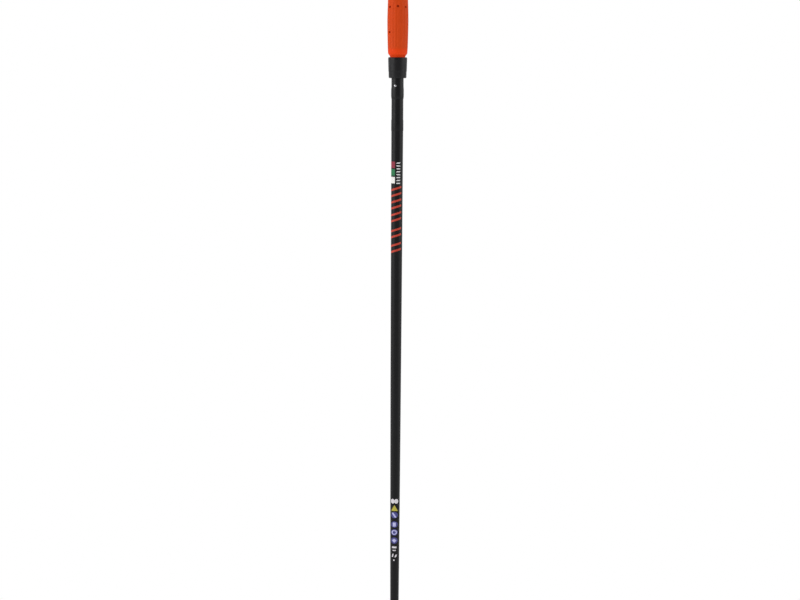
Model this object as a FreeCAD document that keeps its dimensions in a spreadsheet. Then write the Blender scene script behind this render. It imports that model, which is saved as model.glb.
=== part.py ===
"""Fixed-length ski pole: tapered tube, moulded grip with wrist strap, riveted collar, basket and spike.

Millimetres.  Z runs up the pole from the spike's point, X is the grip's width, and the strap
hangs behind the grip on the +Y side.  Every size lives in the Dimensions sheet.
"""
import FreeCAD, Part
import math
import os
import re
import Sketcher

Vector = FreeCAD.Vector
Rotation = FreeCAD.Rotation
Placement = FreeCAD.Placement

UP = Vector(0, 0, 1)
ACROSS = Vector(1, 0, 0)

SIZES = {
    "pole_length": 1200.0,
    # tapered tube: a straight upper stretch, a taper that quickens downwards, a straight foot
    "shaft_radius": 9.0,
    "shaft_wall": 1.2,
    "shaft_end_radius": 6.2,
    "shaft_bottom": 60.0,
    "shaft_top": 1150.0,
    "taper_bottom": 110.0,
    "taper_top": 939.0,
    "taper_lead": 0.4,
    "plug_flange": 2.0,
    "top_plug_length": 18.0,
    "foot_plug_length": 14.0,
    # thin band wrapped round the tube under the collar
    "band_bottom": 939.5,
    "band_length": 16.5,
    "band_wall": 0.28,
    # neck sleeve, collar and the rivet that holds both to the tube
    "sleeve_bottom": 987.5,
    "sleeve_edge": 0.15,
    "sleeve_wall": 0.25,
    "bulge_wall": 0.68,
    "bulge_start": 4.0,
    "bulge_end": 15.0,
    "collar_bottom": 1018.8,
    "collar_length": 31.2,
    "collar_foot_radius": 13.4,
    "collar_step": 9.4,
    "collar_radius": 14.4,
    "collar_socket": 14.0,
    "collar_lip": 1.5,
    "rivet_height": 1007.6,
    "rivet_turn": 21.0,
    "rivet_shank_radius": 1.2,
    "rivet_head_radius": 1.9,
    "rivet_head_rise": 0.9,
    "rivet_bulb_radius": 1.8,
    # hard core and soft shell of the grip
    "core_radius": 10.4,
    "socket_clearance": 2.0,
    "head_wall": 3.0,
    "lip_radius": 11.6,
    "heel_radius": 14.75,
    "swell_radius": 15.9,
    "waist_radius": 15.2,
    "flute_radius": 2.0,
    "flute_depth": 0.45,
    "flute_bottom": 1062.0,
    "flute_length": 72.0,
    "flute_turn": 4.0,
    "dimple_radius": 1.8,
    "dimple_depth": 3.2,
    "dimple_height": 1126.1,
    "side_dimple_height": 1125.0,
    "low_dimple_height": 1087.5,
    # oval head: five stations from the handle's waist to the flat rim under the cap
    "waist_height": 1140.0,
    "throat_height": 1150.0,
    "throat_half_width": 15.8,
    "throat_half_depth": 16.4,
    "flare_height": 1165.0,
    "flare_half_width": 17.2,
    "flare_half_depth": 20.2,
    "crown_height": 1180.0,
    "crown_half_width": 19.0,
    "crown_half_depth": 23.0,
    "rim_height": 1190.0,
    "rim_half_width": 18.8,
    "rim_half_depth": 22.6,
    # strap chamber, open at the top for the wedge and at the back for the webbing
    "chamber_half_width": 9.5,
    "chamber_front": 7.0,
    "chamber_back": 9.3,
    "chamber_floor": 1160.5,
    "slot_height": 1175.6,
    "slot_opening": 4.8,
    "screw_front": 12.6,
    "screw_back": 13.8,
    "screw_length": 15.0,
    "screw_radius": 1.5,
    "screw_head_radius": 2.6,
    # wedge
    "wedge_clearance": 0.3,
    "wedge_foot": 1163.0,
    "wedge_leg": 3.3,
    "wedge_underside": 17.1,
    "wedge_height": 36.6,
    "tooth_depth": 0.8,
    # webbing: double ply at the slot, then one loop
    "strap_half_width": 9.0,
    "ply": 1.8,
    "pin_back": 1.5,
    "pin_height": 1165.0,
    "pin_radius": 1.5,
    "pin_length": 27.6,
    "hinge_back": 25.2,
    "hinge_height": 1178.0,
    "hinge_gap": 0.4,
    "stem_length": 38.0,
    "loop_back": 36.5,
    "loop_height": 1016.0,
    "loop_radius": 17.0,
    "pad_wall": 2.5,
    "pad_half_width": 8.75,
    "keeper_bottom": 1152.0,
    "keeper_length": 8.0,
    "keeper_wall": 1.6,
    "keeper_clearance": 0.3,
    # ferrule, spike and basket
    "ferrule_bottom": 10.0,
    "ferrule_length": 88.0,
    "nose_radius": 5.5,
    "groove_radius": 4.9,
    "groove_height": 28.0,
    "neck_radius": 6.9,
    "neck_height": 30.0,
    "flange_height": 45.0,
    "flange_radius": 9.2,
    "spike_radius": 2.6,
    "spike_length": 24.0,
    "crown_hollow": 1.6,
    "sleeve_tube_radius": 4.0,
    "sleeve_tube_bottom": 8.0,
    "sleeve_tube_length": 18.0,
    "clip_radius": 8.8,
    "clip_mouth": 7.0,
    "hub_clearance": 0.1,
    "hub_gap": 0.3,
    "hub_radius": 15.0,
    "hub_groove_radius": 12.5,
    "disc_seat": 3.5,
    "disc_thickness": 4.0,
    "basket_radius": 43.0,
    "basket_rise": 5.0,
    "window_inner": 19.5,
    "window_outer": 34.5,
    "web_half_width": 3.6,
}

TAPER_STEPS = 8
FLUTES = 18
TEETH = 4
WINDOWS = 6
SIDE_DIMPLE_TURNS = tuple(360 * number / 7 for number in range(1, 7))
LOW_DIMPLE_TURNS = (53, 233)
HEAD_STATIONS = ("throat", "flare", "crown", "rim")


def make_sheet(doc):
    """Write each size to a row of the Dimensions sheet and name its cell."""
    sheet = doc.addObject("Spreadsheet::Sheet", "Dimensions")
    for row, (name, value) in enumerate(SIZES.items(), start=1):
        sheet.set(f"A{row}", name)
        sheet.set(f"B{row}", str(value))
        sheet.setAlias(f"B{row}", name)
    doc.recompute()


def cell(formula):
    """Point every size named in a formula at its cell."""
    def refer(word):
        return f"Dimensions.{word.group()}" if word.group() in SIZES else word.group()
    return re.sub(r"[a-z][a-z_]+", refer, formula)


def bind(thing, **formulas):
    """Bind properties to formulas; a double underscore in a name stands for a dot."""
    for name, formula in formulas.items():
        thing.setExpression(name.replace("__", "."), cell(formula))
    return thing


def at(thing, x="0", y="0", z="0"):
    """Place an object's origin by formulas."""
    return bind(thing, Placement__Base__x=x, Placement__Base__y=y, Placement__Base__z=z)


def front_turn(degrees):
    """Horizontal direction, turned from the front (-Y) towards -X."""
    angle = math.radians(degrees)
    return Vector(-math.sin(angle), -math.cos(angle), 0)


# ------------------------------------------------------------------ building blocks


def attach(body, sketch, role):
    """Attach a sketch to one of its own body's origin planes."""
    plane = [item for item in body.Origin.OriginFeatures if item.Role == role][0]
    sketch.AttachmentSupport = [(plane, "")]
    sketch.MapMode = "FlatFace"


def hold(sketch, line, corner, loose):
    """Fix a line's start at a corner given by two formulas, from the loose place it was drawn."""
    axes = (("DistanceX", corner[0], -2, loose.x), ("DistanceY", corner[1], -1, loose.y))
    for kind, formula, axis_line, value in axes:
        if formula == "0":
            sketch.addConstraint(Sketcher.Constraint("PointOnObject", line, 1, axis_line))
            continue
        number = sketch.addConstraint(Sketcher.Constraint(kind, -1, 1, line, 1, value))
        name = f"{kind}{line}"
        sketch.renameConstraint(number, name)
        sketch.setExpression(f"Constraints.{name}", cell(formula))


def outline(body, name, role, corners):
    """Closed polygon whose every corner is a pair of formulas."""
    sketch = body.newObject("Sketcher::SketchObject", name)
    attach(body, sketch, role)
    count = len(corners)
    turns = [2 * math.pi * index / count for index in range(count)]
    loose = [Vector(30 + 20 * math.cos(turn), 30 + 20 * math.sin(turn), 0) for turn in turns]
    for index in range(count):
        sketch.addGeometry(Part.LineSegment(loose[index], loose[(index + 1) % count]))
    for index in range(count):
        sketch.addConstraint(Sketcher.Constraint("Coincident", index, 2, (index + 1) % count, 1))
    for index, corner in enumerate(corners):
        hold(sketch, index, corner, loose[index])
    return sketch


def turned(doc, label, corners, base="0"):
    """Solid of revolution about Z from (radius, height) corners above its base."""
    body = doc.addObject("PartDesign::Body", label)
    sketch = outline(body, f"{label}_outline", "XZ_Plane", corners)
    turning = body.newObject("PartDesign::Revolution", f"{label}_turning")
    turning.Profile = sketch
    turning.ReferenceAxis = (sketch, ["V_Axis"])
    turning.Angle = 360
    return at(body, z=base)


def padded(doc, label, corners, width):
    """Plate cut in the YZ plane and thickened evenly both ways along X."""
    body = doc.addObject("PartDesign::Body", label)
    pad = body.newObject("PartDesign::Pad", f"{label}_pad")
    pad.Profile = outline(body, f"{label}_outline", "YZ_Plane", corners)
    pad.SideType = "Symmetric"
    bind(pad, Length=width)
    return body


def box(doc, name, low, high):
    """Box between two corners given by formulas."""
    block = doc.addObject("Part::Box", name)
    sides = [f"({top}) - ({bottom})" for bottom, top in zip(low, high)]
    bind(block, Length=sides[0], Width=sides[1], Height=sides[2])
    return at(block, *low)


def rod(doc, name, radius, length, x="0", y="0", z="0", direction=UP):
    """Round bar that starts at a place and runs along a direction."""
    bar = doc.addObject("Part::Cylinder", name)
    bar.Placement = Placement(Vector(), Rotation(UP, direction))
    bind(bar, Radius=radius, Height=length)
    return at(bar, x, y, z)


def cross_rod(doc, name, radius, length, y, z):
    """Round bar centred on the YZ plane, along X."""
    return rod(doc, name, radius, length, f"-({length}) / 2", y, z, ACROSS)


def oval(doc, name, half_width, half_depth, height):
    """Horizontal ellipse, deeper front to back than it is wide."""
    curve = doc.addObject("Part::Ellipse", name)
    curve.Placement = Placement(Vector(), Rotation(UP, 90))
    bind(curve, MajorRadius=half_depth, MinorRadius=half_width)
    return at(curve, z=height)


def lofted(doc, name, ovals):
    """Smooth solid through a stack of ellipses."""
    loft = doc.addObject("Part::Loft", name)
    loft.Sections = ovals
    loft.Solid = True
    loft.Ruled = False
    return loft


def cut(doc, name, base, tool):
    """Base without tool."""
    result = doc.addObject("Part::Cut", name)
    result.Base = base
    result.Tool = tool
    return result


def fused(doc, name, pieces):
    """Pieces made one solid."""
    result = doc.addObject("Part::MultiFuse", name)
    result.Shapes = pieces
    result.Refine = True
    return result


def grouped(doc, name, pieces):
    """Separate solids kept side by side in one shape."""
    result = doc.addObject("Part::Compound", name)
    result.Links = pieces
    return result


# ------------------------------------------------------------------ tube


def taper_corner(share, inset):
    """Corner of the tapering stretch, at a share of the way down it."""
    drop = f"(taper_lead * {share} + (1 - taper_lead) * {share} * {share})"
    radius = f"shaft_radius - (shaft_radius - shaft_end_radius) * {drop} - {inset}"
    height = f"taper_top - shaft_bottom - (taper_top - taper_bottom) * {share}"
    return radius, height


def tube_side(inset):
    """Corners up one side of the tube's wall."""
    foot = [(f"shaft_end_radius - {inset}", "0")]
    taper = [taper_corner(step / TAPER_STEPS, inset) for step in range(TAPER_STEPS, -1, -1)]
    return foot + taper + [(f"shaft_radius - {inset}", "shaft_top - shaft_bottom")]


def rivet_hole(doc, name):
    """Drill along the rivet's own line, through one wall only."""
    return rod(doc, name, "rivet_shank_radius", "shaft_radius + 5", z="rivet_height",
               direction=front_turn(SIZES["rivet_turn"]))


def make_shaft(doc):
    """Aluminium tube, drilled for the rivet."""
    corners = tube_side("0") + tube_side("shaft_wall")[::-1]
    blank = turned(doc, "shaft_blank", corners, base="shaft_bottom")
    return cut(doc, "shaft", blank, rivet_hole(doc, "shaft_drill"))


def make_top_plug(doc):
    """Flanged plug that closes the tube inside the grip."""
    bore = "shaft_radius - shaft_wall"
    corners = [("0", "0"), (f"{bore} - 0.8", "0"), (bore, "1.2"), (bore, "top_plug_length"),
               ("shaft_radius", "top_plug_length"),
               ("shaft_radius", "top_plug_length + plug_flange"),
               ("0", "top_plug_length + plug_flange")]
    return turned(doc, "shaft_top_plug", corners, base="shaft_top - top_plug_length")


def make_foot_plug(doc):
    """Plug that keeps snow out of the tube's foot."""
    bore = "shaft_end_radius - shaft_wall"
    corners = [("0", "0"), (bore, "0"), (bore, "foot_plug_length - 1.2"),
               (f"{bore} - 0.8", "foot_plug_length"), ("0", "foot_plug_length")]
    return turned(doc, "shaft_foot_plug", corners, base="shaft_bottom")


def make_band(doc):
    """Thin wrapped band with feathered edges."""
    outer = "shaft_radius + band_wall"
    corners = [("shaft_radius", "0"), ("shaft_radius + 0.1", "0"), (outer, "0.6"),
               (outer, "band_length - 0.6"), ("shaft_radius + 0.1", "band_length"),
               ("shaft_radius", "band_length")]
    return turned(doc, "shaft_band", corners, base="band_bottom")


# ------------------------------------------------------------------ neck and collar


def make_sleeve(doc):
    """Thin neck sleeve with a fuller lower end, drilled for the rivet."""
    length = "collar_bottom + collar_length - collar_socket - sleeve_bottom"
    thin, full = "shaft_radius + sleeve_wall", "shaft_radius + bulge_wall"
    corners = [("shaft_radius", "0"), ("shaft_radius + sleeve_edge", "0"), (full, "bulge_start"),
               (full, "bulge_end"), (thin, "bulge_end + 2.2"), (thin, length),
               ("shaft_radius", length)]
    blank = turned(doc, "sleeve_blank", corners, base="sleeve_bottom")
    return cut(doc, "neck_sleeve", blank, rivet_hole(doc, "sleeve_drill"))


def make_collar(doc):
    """Stepped collar that takes the grip core's lower end in its socket."""
    bore = "shaft_radius + sleeve_wall"
    socket_floor = "collar_length - collar_socket"
    corners = [(bore, "0"), ("collar_foot_radius - collar_lip", "0"),
               ("collar_foot_radius - collar_lip * 0.3", "collar_lip * 0.3"),
               ("collar_foot_radius", "collar_lip"), ("collar_foot_radius + 0.2", "collar_step"),
               ("collar_radius - 0.5", "collar_step + 0.8"),
               ("collar_radius", "collar_length - 2"), ("collar_radius - 0.6", "collar_length"),
               ("core_radius", "collar_length"), ("core_radius", socket_floor),
               (bore, socket_floor)]
    return turned(doc, "grip_collar", corners, base="collar_bottom")


def make_rivet(doc):
    """Domed blind rivet, made upright and turned to lie along its own line."""
    seat = "shaft_radius + sleeve_wall"
    inner = "shaft_radius - shaft_wall"
    corners = [("0", f"{inner} - 1.4"), ("rivet_bulb_radius - 0.5", f"{inner} - 1.4"),
               ("rivet_bulb_radius", f"{inner} - 0.9"), ("rivet_bulb_radius", f"{inner} - 0.4"),
               ("rivet_shank_radius", f"{inner} - 0.4"), ("rivet_shank_radius", seat),
               ("rivet_head_radius", seat), ("rivet_head_radius", f"{seat} + 0.25"),
               ("rivet_head_radius * 0.72", f"{seat} + rivet_head_rise * 0.8"),
               ("rivet_head_radius * 0.35", f"{seat} + rivet_head_rise"),
               ("0", f"{seat} + rivet_head_rise")]
    rivet = turned(doc, "neck_rivet", corners)
    rivet.Placement = Placement(Vector(), Rotation(UP, front_turn(SIZES["rivet_turn"])))
    return bind(rivet, Placement__Base__z="rivet_height")


# ------------------------------------------------------------------ grip


def head_loft(doc, name, wall, waist):
    """Oval head, drawn in by a wall thickness, rising from a round waist."""
    ovals = [oval(doc, f"{name}_waist", waist, waist, "waist_height")]
    for station in HEAD_STATIONS:
        ovals.append(oval(doc, f"{name}_{station}", f"{station}_half_width - {wall}",
                          f"{station}_half_depth - {wall}", f"{station}_height"))
    return lofted(doc, name, ovals)


def core_blank(doc, name):
    """Outside of the hard core, before anything is cut from it."""
    foot = "collar_bottom + collar_length - collar_socket"
    tube = rod(doc, f"{name}_tube", "core_radius", f"waist_height + 0.5 - ({foot})", z=foot)
    return fused(doc, name, [tube, head_loft(doc, f"{name}_head", "head_wall", "core_radius")])


def strap_slot(doc, name):
    """Way out to the back for the webbing."""
    return box(doc, name, ("-chamber_half_width", "chamber_back - 1", "slot_height"),
               ("chamber_half_width", "crown_half_depth + 5", "slot_height + slot_opening"))


def chamber(doc, name):
    """Pocket that takes the wedge, open at the top."""
    return box(doc, name, ("-chamber_half_width", "-chamber_front", "chamber_floor"),
               ("chamber_half_width", "chamber_back", "pole_length + 5"))


def make_screws(doc, label):
    """Two countersunk screws, in front of and behind the wedge."""
    corners = [("0", "0"), ("screw_radius - 0.5", "0"), ("screw_radius", "0.8"),
               ("screw_radius", "screw_length - 2.6"), ("screw_head_radius", "screw_length - 1"),
               ("screw_head_radius", "screw_length"), ("0", "screw_length")]
    screws = []
    for side, y in (("front", "-screw_front"), ("back", "screw_back")):
        screw = turned(doc, f"{label}_{side}", corners)
        screws.append(at(screw, y=y, z="pole_length - 1 - screw_length"))
    return grouped(doc, label, screws)


def make_core(doc):
    """Hard core: tube socket below, strap chamber in the head."""
    foot = "collar_bottom + collar_length - collar_socket"
    socket = rod(doc, "core_socket", "shaft_radius", f"shaft_top + socket_clearance - ({foot})",
                 z=foot)
    core = cut(doc, "core_bored", core_blank(doc, "core_body"), socket)
    core = cut(doc, "core_chambered", core, chamber(doc, "core_chamber"))
    core = cut(doc, "core_slotted", core, strap_slot(doc, "core_slot"))
    pin_hole = cross_rod(doc, "core_pin_hole", "pin_radius", "pin_length", "pin_back", "pin_height")
    core = cut(doc, "core_drilled", core, pin_hole)
    return cut(doc, "grip_core", core, make_screws(doc, "core_screw_holes"))


def handle_blank(doc):
    """Outside of the handle and head in one."""
    corners = [("0", "0"), ("lip_radius", "0"), ("lip_radius", "1.6"), ("heel_radius - 1.25", "4"),
               ("heel_radius - 0.35", "5.4"), ("heel_radius", "8.5"), ("heel_radius + 0.2", "12"),
               ("swell_radius - 0.7", "19"), ("swell_radius - 0.35", "33"), ("swell_radius", "53"),
               ("swell_radius - 0.3", "70"), ("waist_radius", "84"),
               ("waist_radius", "waist_height + 0.5 - collar_bottom - collar_length"),
               ("0", "waist_height + 0.5 - collar_bottom - collar_length")]
    handle = turned(doc, "shell_handle", corners, base="collar_bottom + collar_length")
    return fused(doc, "shell_body", [handle, head_loft(doc, "shell_head", "0", "waist_radius")])


def flutes(doc):
    """Upright round cutters spaced evenly about the handle."""
    reach = "(swell_radius - flute_depth + flute_radius)"
    bars = []
    for number in range(FLUTES):
        way = front_turn(SIZES["flute_turn"] + 360 * number / FLUTES)
        bars.append(rod(doc, f"flute_{number}", "flute_radius", "flute_length",
                        f"{reach} * {way.x:.6f}", f"{reach} * {way.y:.6f}", "flute_bottom"))
    return grouped(doc, "flutes", bars)


def dimples(doc):
    """Short round cutters pointing inwards."""
    rows = [("dimple_height", 0)]
    rows += [("side_dimple_height", turn) for turn in SIDE_DIMPLE_TURNS]
    rows += [("low_dimple_height", turn) for turn in LOW_DIMPLE_TURNS]
    floor = "(waist_radius - dimple_depth)"
    pins = []
    for number, (height, turn) in enumerate(rows):
        way = front_turn(turn)
        pins.append(rod(doc, f"dimple_{number}", "dimple_radius", "5", f"{floor} * {way.x:.6f}",
                        f"{floor} * {way.y:.6f}", height, way))
    return grouped(doc, "dimples", pins)


def make_shell(doc):
    """Soft fluted shell moulded over the core."""
    shell = cut(doc, "shell_hollowed", handle_blank(doc), core_blank(doc, "shell_core"))
    shell = cut(doc, "shell_slotted", shell, strap_slot(doc, "shell_slot"))
    shell = cut(doc, "shell_fluted", shell, flutes(doc))
    return cut(doc, "grip_shell", shell, dimples(doc))


def make_cap(doc):
    """Domed hard cap with the wedge's opening and two countersinks."""
    stations = (("0", "0"), ("0.3", "4"), ("1.9", "7.8"), ("5.8", "pole_length - rim_height"))
    ovals = []
    for number, (inset, rise) in enumerate(stations):
        ovals.append(oval(doc, f"cap_station_{number}", f"rim_half_width - {inset}",
                          f"rim_half_depth - {inset}", f"rim_height + {rise}"))
    cap = cut(doc, "cap_opened", lofted(doc, "cap_dome", ovals), chamber(doc, "cap_opening"))
    cap = cut(doc, "cap_drilled", cap, make_screws(doc, "cap_screw_holes"))
    head_room = []
    for side, y in (("front", "-screw_front"), ("back", "screw_back")):
        head_room.append(rod(doc, f"countersink_{side}", "screw_head_radius", "3", y=y,
                             z="pole_length - 1"))
    return cut(doc, "head_cap", cap, grouped(doc, "countersinks", head_room))


# ------------------------------------------------------------------ strap


def make_wedge(doc):
    """Toothed wedge with a guide leg that keeps it in its chamber."""
    front, back = "-chamber_front + wedge_clearance", "chamber_back - wedge_clearance"
    inner = f"({front} + wedge_leg)"
    run = f"(({back}) - {inner})"
    corners = [(front, "0"), (inner, "0"), (inner, "wedge_underside + tooth_depth")]
    for tooth in range(TEETH):
        corners.append((f"{inner} + {run} * {(tooth + 0.7) / TEETH}", "wedge_underside"))
        corners.append((f"{inner} + {run} * {(tooth + 1) / TEETH}",
                        "wedge_underside + tooth_depth"))
    corners += [(back, "wedge_height - 1"), (f"{back} - 1", "wedge_height"),
                (f"{front} + 1", "wedge_height"), (front, "wedge_height - 1")]
    wedge = padded(doc, "strap_wedge", corners, "2 * (chamber_half_width - wedge_clearance)")
    return at(wedge, z="wedge_foot")


def make_pin(doc):
    """Steel pin that the webbing's eye is sewn round."""
    return cross_rod(doc, "strap_pin", "pin_radius", "pin_length", "pin_back", "pin_height")


def make_anchor(doc):
    """Double ply of webbing inside the head, from the pin to the slot's mouth."""
    eye_radius = "pin_radius + ply"
    side, width = "strap_half_width", "2 * strap_half_width"
    top = "hinge_height + ply"
    right = f"pin_back + {eye_radius}"
    mouth = "hinge_back - ply - hinge_gap"
    eye = cross_rod(doc, "anchor_eye", eye_radius, width, "pin_back", "pin_height")
    drop = box(doc, "anchor_drop", (f"-{side}", f"{right} - 2 * ply", "pin_height"),
               (side, right, top))
    run = box(doc, "anchor_run", (f"-{side}", f"{right} - 2 * ply", f"{top} - 2 * ply"),
              (side, mouth, top))
    blank = fused(doc, "anchor_blank", [eye, drop, run])
    pin = cross_rod(doc, "anchor_pin", "pin_radius", "2 * strap_half_width + 4", "pin_back",
                    "pin_height")
    return cut(doc, "strap_anchor", blank, pin)


def touch_point(shoulder, radius, side):
    """Where the line from a shoulder touches the loop's round bottom: side is 1 left, -1 right."""
    across = f"({shoulder[0]} - loop_back)"
    rise = f"({shoulder[1]} - loop_height)"
    reach = f"sqrt({across} * {across} + {rise} * {rise})"
    turn = f"(atan2({rise}; {across}) + {side} * acos({radius} / {reach}))"
    return f"loop_back + {radius} * cos({turn})", f"loop_height + {radius} * sin({turn})"


def teardrop(doc, name, radius, left, right, half_width):
    """Plate whose straight sides run from two shoulders to a round bottom."""
    corners = [touch_point(left, radius, 1), left, right, touch_point(right, radius, -1)]
    if left == right:
        corners.remove(right)
    sides = padded(doc, f"{name}_sides", corners, f"2 * {half_width}")
    round_end = cross_rod(doc, f"{name}_round", radius, f"2 * {half_width}", "loop_back",
                          "loop_height")
    return fused(doc, name, [sides, round_end])


def make_strap(doc):
    """Wrist loop: a double stem below the hinge, then one ply all the way round."""
    foot = "(hinge_height - stem_length)"
    apex = ("hinge_back", f"({foot} - 2.5)")
    outside = teardrop(doc, "strap_outside", "loop_radius", ("(hinge_back - ply)", foot),
                       ("(hinge_back + ply)", foot), "strap_half_width")
    gap = teardrop(doc, "strap_gap", "(loop_radius - ply)", apex, apex, "(strap_half_width + 2)")
    stem = box(doc, "strap_stem", ("-strap_half_width", "hinge_back - ply", foot),
               ("strap_half_width", "hinge_back + ply", "hinge_height"))
    nub = cross_rod(doc, "strap_nub", "ply", "2 * strap_half_width", "hinge_back", "hinge_height")
    return fused(doc, "wrist_strap", [cut(doc, "strap_band", outside, gap), stem, nub])


def make_pad(doc):
    """Soft lining in the round bottom of the loop."""
    width = "2 * pad_half_width"
    outside = cross_rod(doc, "pad_outside", "loop_radius - ply", width, "loop_back", "loop_height")
    inside = cross_rod(doc, "pad_inside", "loop_radius - ply - pad_wall", f"{width} + 4",
                       "loop_back", "loop_height")
    ring = cut(doc, "pad_ring", outside, inside)
    upper = box(doc, "pad_upper", ("-20", "loop_back - 30", "loop_height + 1"),
                ("20", "loop_back + 30", "loop_height + 40"))
    return cut(doc, "strap_pad", ring, upper)


def make_keeper(doc):
    """Small moulded ring that slides on the double stem."""
    gap_x, gap_y = "strap_half_width + keeper_clearance", "ply + keeper_clearance"
    low, high = "keeper_bottom", "keeper_bottom + keeper_length"
    outside = box(doc, "keeper_outside",
                  (f"-({gap_x} + keeper_wall)", f"hinge_back - ({gap_y} + keeper_wall)", low),
                  (f"{gap_x} + keeper_wall", f"hinge_back + {gap_y} + keeper_wall", high))
    inside = box(doc, "keeper_inside", (f"-({gap_x})", f"hinge_back - ({gap_y})", f"{low} - 1"),
                 (gap_x, f"hinge_back + {gap_y}", f"{high} + 1"))
    return cut(doc, "strap_keeper", outside, inside)


# ------------------------------------------------------------------ foot


def make_ferrule(doc):
    """Moulded ferrule: tube socket, basket neck and a nose bored for the spike's sleeve."""
    bore_top = "sleeve_tube_bottom + sleeve_tube_length - ferrule_bottom"
    floor = "shaft_bottom - ferrule_bottom"
    corners = [("sleeve_tube_radius", "0"), ("nose_radius - 0.9", "0"), ("nose_radius", "1.6"),
               ("nose_radius", "groove_height"), ("groove_radius", "groove_height"),
               ("groove_radius", "neck_height"), ("neck_radius", "neck_height"),
               ("neck_radius", "flange_height"), ("flange_radius", "flange_height"),
               ("flange_radius", "flange_height + 2.5"),
               ("flange_radius - 0.6", "flange_height + 3.2"),
               ("shaft_end_radius + 1.3", "ferrule_length - 1"),
               ("shaft_end_radius + 0.9", "ferrule_length"), ("shaft_end_radius", "ferrule_length"),
               ("shaft_end_radius", floor), ("0", floor), ("0", bore_top),
               ("sleeve_tube_radius", bore_top)]
    return turned(doc, "ferrule", corners, base="ferrule_bottom")


def make_spike_sleeve(doc):
    """Steel sleeve pressed into the ferrule's nose."""
    corners = [("spike_radius", "0"), ("sleeve_tube_radius - 0.6", "0"),
               ("sleeve_tube_radius", "0.6"), ("sleeve_tube_radius", "sleeve_tube_length"),
               ("spike_radius", "sleeve_tube_length")]
    return turned(doc, "spike_sleeve", corners, base="sleeve_tube_bottom")


def make_spike(doc):
    """Hard spike with a hollow crown point."""
    corners = [("0", "crown_hollow"), ("spike_radius - 0.4", "0"), ("spike_radius", "0.5"),
               ("spike_radius", "spike_length"), ("0", "spike_length")]
    return turned(doc, "spike", corners)


def make_clip(doc):
    """Open retaining clip snapped into the ferrule's groove."""
    thickness = "neck_height - groove_height"
    corners = [("groove_radius", "0"), ("clip_radius", "0"), ("clip_radius", thickness),
               ("groove_radius", thickness)]
    base = "ferrule_bottom + groove_height"
    ring = turned(doc, "clip_ring", corners, base=base)
    mouth = box(doc, "clip_mouth_cut", ("-clip_mouth / 2", "0", f"{base} - 1"),
                ("clip_mouth / 2", "clip_radius + 2", f"{base} + {thickness} + 1"))
    return cut(doc, "basket_clip", ring, mouth)


def make_hub(doc):
    """Rubber hub that turns on the ferrule's neck and grips the basket in its groove."""
    bore = "neck_radius + hub_clearance"
    seat_top = "disc_seat + disc_thickness"
    top = "flange_height - neck_height - 2 * hub_gap"
    corners = [(bore, "0"), ("hub_radius - 0.6", "0"), ("hub_radius", "0.6"),
               ("hub_radius", "disc_seat"), ("hub_groove_radius", "disc_seat"),
               ("hub_groove_radius", seat_top), ("hub_radius - 1", seat_top),
               ("hub_radius - 1", f"{seat_top} + 2"), ("neck_radius + 4", f"{seat_top} + 4.4"),
               ("neck_radius + 3", top), (bore, top)]
    return turned(doc, "basket_hub", corners, base="ferrule_bottom + neck_height + hub_gap")


def make_basket(doc):
    """Dished snow basket: a rim and a hub ring joined by webs between six windows."""
    rim, rise, thick = "basket_radius", "basket_rise", "disc_thickness"
    corners = [("hub_groove_radius", "0"), ("window_inner - 1.5", "0"),
               (f"{rim} - 4.5", rise), (f"{rim} - 3", f"{rise} - 0.8"),
               (f"{rim} - 0.8", f"{rise} - 0.6"), (rim, f"{rise} + 0.6"), (rim, f"{rise} + 3.4"),
               (f"{rim} - 0.8", f"{rise} + 4.4"), (f"{rim} - 3", f"{rise} + 4.6"),
               (f"{rim} - 4.5", f"{rise} + 2.8"), ("window_inner - 1.5", thick),
               ("hub_groove_radius", thick)]
    base = "ferrule_bottom + neck_height + hub_gap + disc_seat"
    body = turned(doc, "basket_disc", corners, base=base)
    slope = math.tan(math.pi / WINDOWS)
    near, far = (f"({edge} * {slope:.6f} - web_half_width)"
                 for edge in ("window_inner", "window_outer"))
    window = body.newObject("PartDesign::Pocket", "basket_window")
    window.Profile = outline(body, "window_outline", "XY_Plane",
                             [("window_inner", f"-{near}"), ("window_outer", f"-{far}"),
                              ("window_outer", far), ("window_inner", near)])
    window.Type = "ThroughAll"
    window.SideType = "Symmetric"
    pattern = body.newObject("PartDesign::PolarPattern", "basket_windows")
    pattern.Originals = [window]
    pattern.Axis = (window.Profile[0], ["N_Axis"])
    pattern.Angle = 360
    pattern.Occurrences = WINDOWS
    body.Tip = pattern
    return body


# ------------------------------------------------------------------ assembly


def make_pieces(doc):
    """Every sub-part, from the grip down."""
    return [
        make_cap(doc), make_screws(doc, "cap_screws"), make_wedge(doc), make_core(doc),
        make_shell(doc), make_pin(doc), make_anchor(doc), make_strap(doc), make_pad(doc),
        make_keeper(doc), make_collar(doc), make_sleeve(doc), make_rivet(doc), make_shaft(doc),
        make_top_plug(doc), make_foot_plug(doc), make_band(doc), make_ferrule(doc),
        make_spike_sleeve(doc), make_spike(doc), make_clip(doc), make_hub(doc), make_basket(doc),
    ]


def check(doc, pieces):
    """Stop if any feature failed or any sub-part is empty or broken."""
    for thing in doc.Objects:
        if {"Invalid", "Error"} & set(thing.State):
            raise RuntimeError(f"{thing.Label} failed: {thing.State}")
    for piece in pieces:
        shape = piece.Shape
        if shape.isNull() or not shape.isValid() or not shape.Solids:
            raise RuntimeError(f"{piece.Label} has no sound shape")
        print(f"{piece.Label:16s} solids {len(shape.Solids)}  volume {shape.Volume:10.1f}")


def main():
    """Build, check and export the pole."""
    doc = FreeCAD.newDocument("SkiPole")
    make_sheet(doc)
    pieces = make_pieces(doc)
    doc.recompute()
    check(doc, pieces)
    os.makedirs("parts", exist_ok=True)
    for piece in pieces:
        piece.Shape.exportStep(os.path.join("parts", f"{piece.Label}.step"))


main()
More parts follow.
